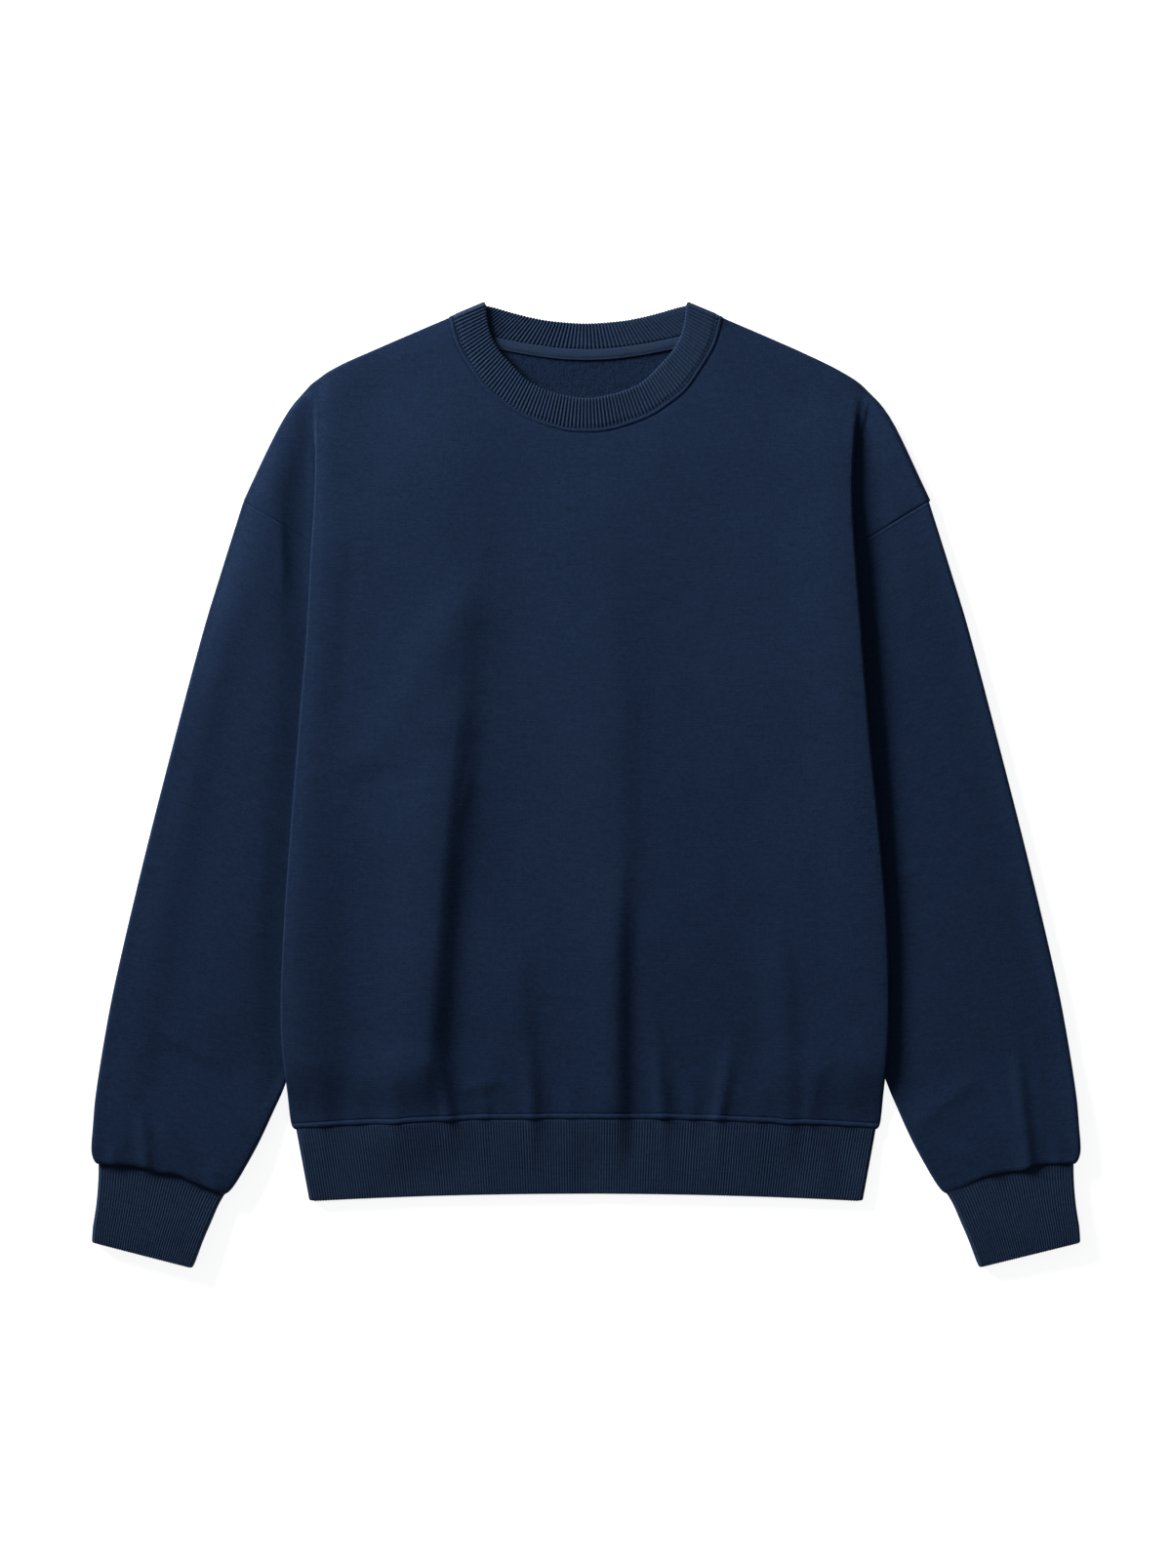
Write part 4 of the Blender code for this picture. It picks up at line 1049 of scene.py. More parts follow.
def from_armhole(x, y):
    """Distance of a place from the armhole seam; the cap's side is positive."""
    run_x, run_y = ARM_RUN
    t = ((abs(x) - UNDERARM[0]) * run_x + (y - UNDERARM[1]) * run_y) / ARM_RUN_LENGTH ** 2
    off = ((y - UNDERARM[1]) * run_x - (abs(x) - UNDERARM[0]) * run_y) / ARM_RUN_LENGTH
    return off - ARMHOLE_BULGE * math.sin(math.pi * min(1.0, max(0.0, t)))


OUTER_LINE = SLEEVE_OUTER + tuple((y, x) for x, y in reversed(SHOULDER[3:8]))
PUFF = {-1: (4.0, 6.0), 1: (1.8, 1.8)}              # mm, on the lower and the upper part
NEAR_BODY = {-1: 0.5, 1: 0.25}                      # share of it that is gained beside the body
OUTER_FALL = {-1: (20.0, 30.0), 1: (20.0, 20.0)}    # mm over which it changes at the outer edge
OUTER_REST = {-1: (1.1, 0.0), 1: (2.0, 2.0)}        # share of it that is left there
BESIDE_BODY = {-1: (0.0, -0.7), 1: (-1.1, -1.1)}    # a shallow trough along the body's edge
SLEEVE_TUCKS = (  # x, y from, x, y to, half width, height
    (-238.0, 204.0, -236.0, 160.0, 4.5, 0.9),
    (-330.0, -192.0, -291.0, -216.0, 5.0, 1.1),
    (-345.0, -262.0, -341.0, -300.0, 5.0, 1.6),
    (-328.0, -270.0, -305.0, -306.0, 4.5, 1.3),
    (-366.0, -284.0, -368.0, -300.0, 5.0, 0.8),
    (-290.0, -300.0, -286.0, -318.0, 5.0, 0.8),
    (-352.0, -63.0, -330.0, -64.0, 3.0, 0.5),
    (336.0, -222.0, 345.0, -304.0, 5.0, 1.6),
    (292.0, -284.0, 318.0, -302.0, 5.0, 1.3),
    (366.0, -280.0, 368.0, -300.0, 5.0, 0.8),
    (246.0, -70.0, 262.0, -64.0, 3.0, 0.5),
    (262.0, -262.0, 300.0, -232.0, 8.0, 0.8),
)


def cap_level(x, y, side):
    """How far the upper layer of cap and sleeve stands over the flat.

    It is highest near the outer edge and falls towards the body's edge.
    """
    from_body = abs(x) - body_edge(y, side) - 1.0
    width = along_table(OUTER_LINE, y) - body_edge(y, side)
    from_outer = width - EDGE_INSET - from_body
    beside_body = ease(from_body / 14.0)
    upper = ease((y - 90.0) / 90.0)
    rim = ease((y - 30.0) / 120.0)
    bend = 1 - (1 - min(1.0, max(0.0, from_body) / 34.0)) ** 2
    bend = mix(bend, ease((from_body - 2.0) / 32.0), upper)
    puff = mix(*PUFF[side], upper) * ease(width / 40.0)
    at_rim = max(0.0, 1 - from_outer / mix(*OUTER_FALL[side], rim)) ** 2
    puff *= mix(1.0, mix(*OUTER_REST[side], rim), min(1.0, at_rim))
    puff *= max(0.0, mix(from_body / width, bend, NEAR_BODY[side] * ease((y + 230.0) / 60.0)))
    puff += mix(*BESIDE_BODY[side], upper) * ease(from_body / 4.0) * hill(from_body - 12.0, 14.0)
    small = 0.5 * uneven_height(x, y, 5.0 + side) + tuck_height(SLEEVE_TUCKS, x, y)
    return puff + beside_body * small


print("the cap is puffed by", PUFF[-1][1], "mm on the left and", PUFF[1][1], "mm on the right")

# %% [markdown]
# ## The cap
#
# Each row goes on from the turned-under cloth, turns back out and ends at the armhole
# seam.  A cap laid on as a piece of its own would need an edge that the real one doesn't
# have; this one is the same cloth.

# %% Rows of the cap
ARM_STEPS = (0.0, 0.04, 0.08, 0.12, 0.18, 0.26, 0.35, 0.45, 0.55, 0.65, 0.74, 0.81, 0.87, 0.91,
             0.94, 0.965, 0.985, 1.0)


def cap_row(start, crease_y, side):
    """From the fold's inner turn, down to the cap and out to the armhole seam."""
    rise = above_underarm(crease_y)
    if rise < NEAR:
        return [start] * (ARC_STEPS + len(ARM_STEPS))
    arc, angle, _ = side_fold(rise, side)
    radius = arc / angle if angle > NEAR else 0.0
    x, y, z = abs(start[0]), start[1], start[2]
    row = [(x, y, z)]
    for step in range(1, ARC_STEPS + 1):
        left = angle * (1 - step / ARC_STEPS)
        if radius:
            px = x - radius * (math.sin(left) - math.sin(angle))
            pz = z - radius * (math.cos(left) - math.cos(angle))
        else:
            px, pz = x + arc * step / ARC_STEPS, z
        row.append((px, y + follow_shoulder(rise, px, x), pz))
    inner = row[-1]
    outer = armhole_point(rise)
    for t in ARM_STEPS[1:]:
        (ox, oy), _ = inset_outline(mix(AFTER_CREASE_SHARE, 1.0, t), EDGE_INSET)
        weight = rise ** 2 * (1 - t * t) if rise < 1 else 1.0
        px = mix(mix(inner[0], outer[0], t), ox, weight)
        py = mix(mix(inner[1], outer[1], t), oy, weight) + t * SEAM_OVER
        pz = mix(inner[2], CAP_LEVEL, ease(3 * t)) + ease(rise * 8) * (
            cap_level(side * px, py, side) + seam_swell(from_armhole(px, py), *ARM_SEAM))
        row.append((px, py, pz))
    return [(side * px, py, pz, side * px, py) for px, py, pz in row]


print("a row of the cap has", ARC_STEPS + len(ARM_STEPS), "places")

# %% [markdown]
# ## The shoulder's edge
#
# The shoulder seam lies a little behind the upper edge, so the front's cloth rolls over
# that edge and ends under it.  A sharp edge with the seam on it would be simpler, but a
# laid garment shows a soft roll there.

# %% Over the shoulder
def shoulder_turn(row, side):
    """The cloth over the shoulder's edge and under it, to the shoulder seam."""
    ways_out = []
    for i in range(len(row)):
        p, q = row[max(0, i - 1)], row[min(len(row) - 1, i + 1)]
        dx, dy = abs(q[0]) - abs(p[0]), q[1] - p[1]
        length = math.hypot(dx, dy)
        ways_out.append((-dy / length * side, dx / length))
    turned_rows = [row]
    for step in range(1, ARC_STEPS + 1):
        angle = math.pi * step / ARC_STEPS
        turned = []
        for (x, y, z, u, v), (nx, ny) in zip(row, ways_out):
            radius = (z - FLOOR_LEVEL) / 2
            out = radius * math.sin(angle)
            turned.append((x + nx * out, y + ny * out, z - radius * (1 - math.cos(angle)),
                           u, v + radius * angle))
        turned_rows.append(turned)
    for share in (0.5, 1.0):
        under = []
        for (x, y, z, u, v), (nx, ny) in zip(turned_rows[ARC_STEPS], ways_out):
            beside_neck = math.dist((abs(x), y), NECK_CORNER)
            reach = share * mix(UNDER_AT_NECK, SHOULDER_UNDER, ease(beside_neck / 10.0))
            under.append((x - nx * reach, y - ny * reach, z, u, v + reach))
        turned_rows.append(under)
    return turned_rows


print("the shoulder seam lies", SHOULDER_UNDER, "mm under the edge")

# %% [markdown]
# ## Sewing the front together
#
# Body, neck border, cap and shoulder are four grids on each side.  A single grid would
# pull its quads thin round the neck; four keep them even, and corners that lie on each
# other become one when the piece is finished.

# %% Sew the front together
def make_front():
    bm = bmesh.new()
    for side in (-1, 1):
        body_rows, cap_rows = [], []
        for crease_y in FRONT_ROWS:
            top = front_top_row(crease_y, side, FRONT_COLUMNS)
            fold = side_fold_row(top[-1], crease_y, side)
            body_rows.append(top + fold)
            if above_underarm(crease_y) > -NEAR:
                cap_rows.append(cap_row(fold[-1], crease_y, side))
        border = []
        for step in reversed(SEAM_STEPS):
            row = []
            for i in range(NECK_COLUMNS + 1):
                (x, y), (out_x, out_y) = neck_border(i / NECK_COLUMNS)
                x, y = side * (x + step * out_x), y + step * out_y
                row.append((x, y, front_level(x, y, side) + front_detail(x, y, side, step), x, y))
            border.append(row)
        border[0] = body_rows[-1][:NECK_COLUMNS + 1]
        lay_cloth(bm, body_rows)
        lay_cloth(bm, border)
        lay_cloth(bm, cap_rows)
        edge = [row[-1] for row in reversed(border)]
        edge += body_rows[-1][NECK_COLUMNS + 1:] + cap_rows[-1][1:]
        lay_cloth(bm, shoulder_turn(edge, side))
    return finish_cloth("front", bm, (jersey, brushed), FLEECE, (0.0, 0.0))


front = make_front()

# %% [markdown]
# ## The back
#
# The back lies flat on the floor, its face down.  Through the neck opening its brushed
# inside shows.  At its sides it climbs to the side seam.  A copy of the front would be
# quicker, but the back has a higher neck and no fold of its own.  Just below the armhole
# a narrow gap is left between back and sleeve, which only the underside shows.

# %% Shape of the back
BACK_INSET = EDGE_INSET + SHOULDER_UNDER + 2 * SEAM_GAP
BACK_LAST_SHARE = CREASE_SHARE * 0.76
BACK_ARMHOLE_SHARE = 0.9
BACK_LAP = 2.4
BACK_NECK_SHARE = 0.97
BACK_CAP_STEPS = (0.0, 0.1, 0.25, 0.4, 0.6, 0.8, 0.95, 1.0)
BACK_CREASES = (  # as in LONG_CREASES
    (-70.0, 200.0, -60.0, -72.0, -240.0, 16.0, 12.0, 0.6),
    (55.0, 140.0, 64.0, 60.0, -240.0, 18.0, 14.0, 0.7),
    (120.0, 60.0, 126.0, 118.0, -250.0, 12.0, 12.0, 0.5),
    (-130.0, 20.0, -124.0, -128.0, -250.0, 12.0, 14.0, 0.6),
)


def back_level(inside, y):
    clear_of_fold = inside - EDGE_INSET - TUCK
    climb = 1 - ease(clear_of_fold / (BACK_RISES_AT - EDGE_INSET - TUCK))
    over = y - UNDERARM[1]
    if over > 0:
        return FLOOR_LEVEL + (2 * LAYER_STEP - BACK_LAP) * climb * (1 - ease(over / 13.0))
    lap = BACK_LAP * ease(1 + over / 28.0)
    return FLOOR_LEVEL + (2 * LAYER_STEP * lift(y) - lap) * climb


def back_place(x, y, side, inside):
    """A place of the back; its creases only rise, since it rests on the floor."""
    share = ease((inside - 70.0) / 30.0) * ease((330.0 - y) / 40.0)
    z = back_level(inside, y) + share * max(0.0, crease_height(BACK_CREASES, side * x, y))
    return (side * x, y, z, side * x, y)


print("the back rises", round(back_level(EDGE_INSET, 0.0) - FLOOR_LEVEL, 1), "mm at its side")

# %% [markdown]
# ## Rows of the back
#
# The back is laid in rows like the front's, with fewer of them, since little of it shows.
# The same rows as in front would meet place by place, but would double the faces for
# nothing that is seen.

# %% Rows of the back
def back_columns():
    columns = [point_at(BACK_NECK_CURVE, share)[0] for share in spread(0.0, BACK_NECK_SHARE, 0.03)]
    for share in spread(0.0, BACK_LAST_SHARE, BACK_LAST_SHARE / 20)[1:]:
        columns.append(inset_outline(share, BACK_INSET)[0])
    return columns


def back_row(crease_y, side, columns):
    share = row_share(crease_y)
    edge = body_edge(crease_y, side)
    inner_x = edge - EDGE_INSET - TUCK - SEAM_GAP
    widest, last_y = columns[-1]
    pull = (FOLD_TOP_Y - last_y) * (1 - ease(above_underarm(crease_y)))
    row = []
    for x_top, y_top in columns:
        part = x_top / widest
        x = mix(part * inner_x, x_top, ease((share - 0.75) / 0.25))
        y = mix(hem_seam_y(side * x), y_top + pull * part ** 2, share)
        row.append(back_place(x, y, side, edge - x))
    return row


def back_side_row(start, crease_y, side):
    """From the row's end out to the side seam, beside the front's turned-under cloth."""
    edge = body_edge(crease_y, side)
    run = mix(TUCK, SEAM_BESIDE_EDGE, ease(-above_underarm(crease_y) * 1.9))
    seam_x = edge - EDGE_INSET - run - SEAM_GAP
    row = [start]
    for t in (0.25, 0.5, 0.75, 1.0):
        x = mix(abs(start[0]), seam_x, t)
        row.append(back_place(x, beside_fold_y(crease_y, x), side, edge - x))
    return row


def back_cap_row(start, rise, side):
    if rise < NEAR:
        return [start] * len(BACK_CAP_STEPS)
    outer = armhole_point(rise * BACK_ARMHOLE_SHARE)
    row = [start]
    for t in BACK_CAP_STEPS[1:]:
        (ox, oy), _ = inset_outline(mix(BACK_LAST_SHARE, 1.0, t), BACK_INSET)
        weight = rise ** 2 * (1 - t * t) if rise < 1 else 1.0
        px = side * mix(mix(abs(start[0]), outer[0], t), ox, weight)
        py = mix(mix(start[1], outer[1], t), oy, weight) + t * SEAM_OVER
        row.append((px, py, mix(start[2], FLOOR_LEVEL, ease(3 * t)), px, py))
    return row


print("a row of the back has", len(back_columns()), "places on each side")

# %% [markdown]
# ## Sewing the back together
#
# Body, side and cap of the back are three grids on each side, as in front.  They are
# merged where they share places and given their thickness last, so that the wall is even.

# %% Sew the back together
def make_back():
    bm = bmesh.new()
    columns = back_columns()
    rows = spread(CREASE_BOTTOM_Y, UNDERARM[1], 6.0)[:-1] + spread(UNDERARM[1], CREASE_TOP_Y, 5.0)
    for side in (-1, 1):
        body_rows, side_rows, cap_rows = [], [], []
        for crease_y in rows:
            rise = above_underarm(crease_y)
            body_rows.append(back_row(crease_y, side, columns))
            if rise < NEAR:
                side_rows.append(back_side_row(body_rows[-1][-1], crease_y, side))
            if rise > -NEAR:
                cap_rows.append(back_cap_row(body_rows[-1][-1], rise, side))
        for grid in (body_rows, side_rows, cap_rows):
            lay_cloth(bm, grid)
    return finish_cloth("back", bm, (brushed, jersey), FLEECE, (0.0, 0.0))


back = make_back()

# %% [markdown]
# ## The sleeves
#
# A sleeve is a flat tube.  Its upper layer is puffed a little and creased where it meets
# the cuff; its inner edge is tucked under the body.  It could be two flat layers joined at
# the edges, but then the edges would be sharp; a ring carried down the arm turns softly.

# %% Shape of a sleeve
SLEEVE_LENGTH = 528.0
SLEEVE_RIDGES = (  # side, along from, to, across from, to, outer and inner half width, height
    (-1, 0.10, 0.95, 0.13, 0.17, 0.13, 0.11, 1.5),
    (-1, 0.45, 0.95, 0.55, 0.55, 0.20, 0.30, 0.8),
    (1, 0.86, 1.10, 0.44, 0.36, 0.10, 0.06, 1.0),
    (-1, 0.78, 1.04, 0.99, 0.97, 0.26, 0.12, 2.4),
)
CUFF_WAVE = {  # side: across, half width, rise of the cuff's seam
    -1: ((0.30, 0.12, 0.8), (0.50, 0.07, -1.4), (0.62, 0.10, 1.2), (0.85, 0.1, -0.6)),
    1: ((0.25, 0.12, 0.9), (0.42, 0.07, -1.2), (0.70, 0.12, 1.1), (0.90, 0.08, -0.8)),
}
END_PUFF = {-1: 4.2, 1: 3.0}    # the sleeve swells towards the cuff that gathers it
END_LEAN = (0.7, 1.1)   # share of that swelling on the left and on the right of the arm
END_STAYS = 0.85        # share of it which the cuff takes on
END_ROUND = 3.2         # mm of the sleeve that round over into the cuff's seam
END_STEPS = (6.0, 4.5, 3.5, 2.6, 1.8, 1.1, 0.5, 0.15, 0.0)  # mm before that seam
TURN_REACH = 1.75       # mm; a thick edge is pressed narrower than a round
SLEEVE_COLUMNS = (56, 20, 9)    # on the upper layer, on the lower one and in a turn
SLEEVE_PRESS = 0.65     # below 1 its folded edges are pressed squarer than a round


def rightward(across, side):
    """Across an arm from its left to its right, where across is from outer to inner."""
    return across if side < 0 else 1 - across


def sleeve_plan(along, across, side):
    """Seen from above: along the sleeve, and across from its outer to its inner edge."""
    outer_y = mix(ARMHOLE_END[1], SLEEVE_OUTER[0][0], along)
    inner_y = mix(UNDERARM[1], SLEEVE_INNER[0][0], along)
    to_cap = ARMHOLE_END[0] + EDGE_INSET - along_table(SLEEVE_OUTER, ARMHOLE_END[1])
    outer_x = along_table(SLEEVE_OUTER, outer_y) - EDGE_INSET + to_cap * (1 - along) ** 8
    inner_x = along_table(SLEEVE_INNER, inner_y) + EDGE_INSET * ease(along * 8)
    bow = ARMHOLE_BULGE * (1 - along) ** 3 + SLEEVE_END_BULGE * along ** 6
    y = mix(outer_y, inner_y, across) + bow * math.sin(math.pi * across)
    y += waves(CUFF_WAVE[side], across) * ease((along - 0.94) / 0.06)
    return mix(outer_x, inner_x, across), y


def end_round(along):
    """0 along the sleeve, 1 at its very end, on a quarter circle."""
    t = max(0.0, 1 - (1 - along) * SLEEVE_LENGTH / END_ROUND)
    return 1 - math.sqrt(max(0.0, 1 - t * t))


def sleeve_ridge(along, across, side):
    total = SLEEVE_PUFF * math.sin(math.pi * across)
    for of_side, along_0, along_1, across_0, across_1, outer, inner, rise in SLEEVE_RIDGES:
        t = (along - along_0) / (along_1 - along_0)
        if of_side == side and -0.15 < t < 1.15:
            beside = across - mix(across_0, across_1, t)
            fade = ease((t + 0.15) / 0.5) * ease((1.15 - t) / 0.3)
            total += rise * fade * hill(beside, outer if beside < 0 else inner)
    return total


def sleeve_upper(along, across, side):
    x, y = sleeve_plan(along, across, side)
    beside_body = ease((x - body_edge(y, side) - 1.0) / 22.0)
    below_body = ease((-222.0 - y) / 30.0)
    clear = max(beside_body, below_body) * ease(along * 9)
    z = CAP_LEVEL + clear * sleeve_ridge(along, across, side) + cap_level(side * x, y, side)
    lean = mix(*END_LEAN, rightward(across, side))
    over_cuff = END_PUFF[side] * ease((along - 0.81) / 0.17) * lean
    rounding = end_round(along)
    z += seam_swell(along * SLEEVE_LENGTH, *ARM_SEAM) + over_cuff * mix(1.0, END_STAYS, rounding)
    z -= 0.8 * rounding
    return side * x, y, z


def sleeve_lower(along, across, side):
    x, y = sleeve_plan(along, across, side)
    return side * x, y, FLOOR_LEVEL + 0.6 * end_round(along)


print("a sleeve swells by", END_PUFF[-1], "and", END_PUFF[1], "mm at its cuff")

# %% [markdown]
# ## A flattened tube
#
# Sleeves, cuffs, hem band and neckband are all tubes that lie flat.  Squashing a round
# tube would stretch its knit; a ring that runs along the upper layer, round a turn and
# back along the lower one keeps every length, and one function serves them all.

# %% A flattened tube
def ways_out_of(place, down, side):
    """Plan directions of a flat tube's inner and outer turn."""
    outer, inner = place(down, 0.0), place(down, 1.0)
    length = math.dist(outer, inner)
    out = ((outer[0] - inner[0]) / length, (outer[1] - inner[1]) / length)
    return out, ((-side * out[0], -out[1]), (side * out[0], out[1]))


def flat_ring(upper, lower, ways_out, upper_count, lower_count, turn_count, power=1.0):
    """Round a flattened tube: places, and the way its outside faces at each.

    upper and lower give the middle of the cloth at 0 to 1 across the tube, on its two
    layers; ways_out are the plan directions of the turns at 1 and at 0; a power below 1
    presses the turns squarer.
    """
    ring = [(upper(i / upper_count), (0.0, 0.0, 1.0)) for i in range(upper_count + 1)]
    turns = ((upper, lower, 1.0, 1.0), (lower, upper, 0.0, -1.0))
    for (nx, ny), (from_layer, to_layer, at, first_up) in zip(ways_out, turns):
        start, end = from_layer(at), to_layer(at)
        radius = abs(start[2] - end[2]) / 2
        reach = min(radius, TURN_REACH)
        for step in range(1, turn_count):
            angle = math.pi * step / turn_count
            out = math.sin(angle) ** power
            up = first_up * math.copysign(abs(math.cos(angle)) ** power, math.cos(angle))
            turned = step / turn_count
            ring.append(((mix(start[0], end[0], turned) + nx * reach * out,
                          mix(start[1], end[1], turned) + ny * reach * out,
                          (start[2] + end[2]) / 2 + radius * up), (nx * out, ny * out, up)))
        if at == 1.0:
            ring += [(lower(1 - i / lower_count), (0.0, 0.0, -1.0))
                     for i in range(lower_count + 1)]
    return ring + ring[:1]


print("a sleeve's ring has", 1 + sum(SLEEVE_COLUMNS[:2]) + 2 * SLEEVE_COLUMNS[2], "places")

# %% [markdown]
# ## Sewing the sleeves
#
# Rings one after another down the arm make the sleeve.  Even spacing would either waste
# faces or miss the seams, so the rings stand close together at both ends.

# %% Sew the sleeves
def sleeve_stations():
    """Shares of the sleeve's length, finer at both of its seams."""
    fine = [step / SLEEVE_LENGTH for step in SEAM_STEPS[:-1]]
    middle = spread(SEAM_STEPS[-1] / SLEEVE_LENGTH, 1 - 8.0 / SLEEVE_LENGTH, 3.2 / SLEEVE_LENGTH)
    return fine + middle + [1 - step / SLEEVE_LENGTH for step in END_STEPS]


def make_sleeve(name, side):
    bm = bmesh.new()
    rings = []
    for along in sleeve_stations():
        out, ways_out = ways_out_of(lambda a, c: sleeve_plan(a, c, side), along, side)
        if along < NEAR:
            _, out = inset_outline(1.0, EDGE_INSET)
            ways_out = (ways_out[0], (side * out[0], out[1]))
        ring = flat_ring(lambda across: sleeve_upper(along, across, side),
                         lambda across: sleeve_lower(along, across, side),
                         ways_out, *SLEEVE_COLUMNS, SLEEVE_PRESS)
        pull = 2.0 * end_round(along)
        row, u = [], 0.0
        before = ring[0][0]
        for place, way in ring:
            u += math.dist(before, place)
            before = place
            row.append((place[0] - pull * way[0], place[1] - pull * way[1], place[2],
                        u, -along * SLEEVE_LENGTH))
        rings.append(row)
    lay_cloth(bm, rings)
    return finish_cloth(name, bm, (jersey, brushed), FLEECE)


sleeves = [make_sleeve("sleeve_of_left_side", -1), make_sleeve("sleeve_of_right_side", 1)]

# %% [markdown]
# ## The rib bands
#
# Neckband, cuffs and hem band are tubes of rib knit folded double, so their free edge is
# a soft fold and their wall is two cloths thick.  The ribs are real ridges: at about two
# millimetres each they are what the light catches first, and a picture of ribs would
# stay flat under a low lamp.  The wall is one closed strip, down the outside, round the
# fold and up the inside, carried round the tube.

# %% A ribbed band
RIB_SIDES = 6           # columns to a rib
TURN_RIBS = 3           # ribs round each side edge of hem band and cuffs
RIB_CLOTH = 2.0         # mm of knit across a rib
RIB_SUNK = 0.45         # share of a rib's height that is sunk into the band
LOOK_BACK = 2.0         # mm up the band, to find the way down it
FOLD_STEPS = 6          # round the free edge
FOLD_STEP_CLOTH = 0.6   # mm of knit at each of these steps
FOLD_CLOTH = 4.0        # mm of knit kept for the whole fold
CLOSING_CLOTH = 5.0     # mm of knit where the strip closes at the seam


def rib_height(column, relief):
    """Ridge of a rib: round on top, with a narrow furrow on each side."""
    return relief * (abs(math.cos(math.pi * column / RIB_SIDES)) - RIB_SUNK)


def seam_pinch(distance):
    """Hem band and cuffs are drawn down a little at their seam."""
    return -0.35 * hill(distance, 0.8)


def ribbed_band(name, tube, length, counts, relief, pinch):
    """A band of doubled rib, from its seam down to its folded free edge.

    tube has upper(across, down), lower(across, down) and ways_out(down); counts are the
    ribs on the upper layer, on the lower layer and in a turn; relief is from furrow to
    crest; pinch(distance) is how far the ribs are drawn down.
    """
    upper, lower, ways_out = tube
    upper_ribs, lower_ribs, turn_ribs = counts
    fold = RIB / 2
    outside = [0.0, 0.5, 1.0, 1.6, 2.2, 3.0] + spread(4.5, length - 5.0, 5.5)
    outside += [length - 3.0, length - fold]
    rings = {}

    def ring_at(distance):
        if distance not in rings:
            down = distance / length
            rings[distance] = flat_ring(
                lambda across: upper(across, down), lambda across: lower(across, down),
                ways_out(down),
                RIB_SIDES * upper_ribs, RIB_SIDES * lower_ribs, RIB_SIDES * turn_ribs)
        return rings[distance]

    rows = []

    def lay_row(distance, turn, cloth_length):
        """turn is 0 on the outside and pi on the inside of the wall."""
        row = []
        before = ring_at(max(0.0, distance - LOOK_BACK))
        for column, (place, way) in enumerate(ring_at(distance)):
            ahead = [p - q for p, q in zip(place, before[column][0])]
            size = math.hypot(*ahead) or 1.0
            ridge = rib_height(column, relief)
            if turn < NEAR:
                ridge += pinch(distance)
            reach = fold + ridge
            spot = [p + reach * (math.cos(turn) * w + math.sin(turn) * a / size)
                    for p, w, a in zip(place, way, ahead)]
            row.append((*spot, column / RIB_SIDES * RIB_CLOTH, -cloth_length))
        rows.append(row)

    for distance in outside:
        lay_row(distance, 0.0, distance)
    for step in range(1, FOLD_STEPS):
        lay_row(outside[-1], math.pi * step / FOLD_STEPS, length + step * FOLD_STEP_CLOTH)
    for distance in (length - fold, length * 0.75, length * 0.5, length * 0.25, 3.0, 0.0):
        lay_row(distance, math.pi, 2 * length + FOLD_CLOTH - distance)
    rows.append([(*place[:3], place[3], place[4] - CLOSING_CLOTH) for place in rows[0]])
    bm = bmesh.new()
    lay_cloth(bm, rows)
    return finish_cloth(name, bm, (rib_knit,))


print("each rib has", RIB_SIDES, "columns")

# %% [markdown]
# ## The hem band
#
# The hem band is a wide flat tube that draws the body in.  A straight strip would do for
# its free edge but leave the body's seam; its upper edge is the hem seam's own curve and
# its surface starts from the front's, creases and all.

# %% Hem band
HEM_RIBS = 211
HEM_TILT = 1.6          # the free edge doesn't lie quite flat
HEM_RELIEF = 0.42
HEM_DIPS = (  # x, half width, rise of the band's face
    (-115.0, 34.0, -1.2), (3.0, 14.0, -1.4), (158.0, 24.0, -1.4), (200.0, 12.0, -1.2),
)


def hem_place(across, down):
    """Hem band from above: across it from left to right, down it from its seam."""
    half = mix(HEM_HALF_TOP, HEM_HALF_END, down) - RIB_INSET
    x = mix(-half, half, across)
    end_y = HEM_END_Y - HEM_END_DIP * (x / HEM_HALF_END) ** 2
    into_corner = HEM_CORNER - (half - abs(x)) - RIB_INSET
    if into_corner > 0:
        end_y += HEM_CORNER - math.sqrt(max(0.0, HEM_CORNER ** 2 - into_corner ** 2))
    return x, mix(hem_seam_y(x) + SEAM_OVER, end_y, down)


def hem_upper(across, down):
    x, y = hem_place(across, down)
    seam_y = hem_seam_y(x)
    seam_level = (front_level(x, seam_y, side_of(x)) + 0.3 * gather_height(x, seam_y)
                  + RIB_FLOOR_LEVEL - FLOOR_LEVEL)
    soft = 0.5 * uneven_height(x, y, 9.0) * ease(2 * down)
    soft += waves(HEM_DIPS, x) * hill(down - 0.6, 0.45)
    end_level = RIB_FLOOR_LEVEL + RIB_LAYER_STEP + HEM_TILT
    return x, y, mix(seam_level, end_level, ease(1.2 * down)) + soft


def hem_lower(across, down):
    return (*hem_place(across, down), RIB_FLOOR_LEVEL)


hem_tube = (hem_upper, hem_lower, lambda down: ((1.0, 0.0), (-1.0, 0.0)))
hem_band = ribbed_band("hem_ribbing", hem_tube, HEM_SEAM_Y - HEM_END_Y,
                       (HEM_RIBS, HEM_RIBS, TURN_RIBS), HEM_RELIEF, seam_pinch)

# %% [markdown]
# ## The cuffs
#
# A cuff is narrower than the sleeve's end, which is gathered into it.  Two tubes laid
# edge to edge would look like it only from afar; here the sleeve's swelling and its small
# creases run on over the seam and fade out down the rib.

# %% Cuffs
CUFF_RIBS = 42
CUFF_LENGTH = 59.0
CUFF_RELIEF = 0.45
CUFF_TILT = {-1: 3.8, 1: 3.0}   # the free edge stands this much higher, by side


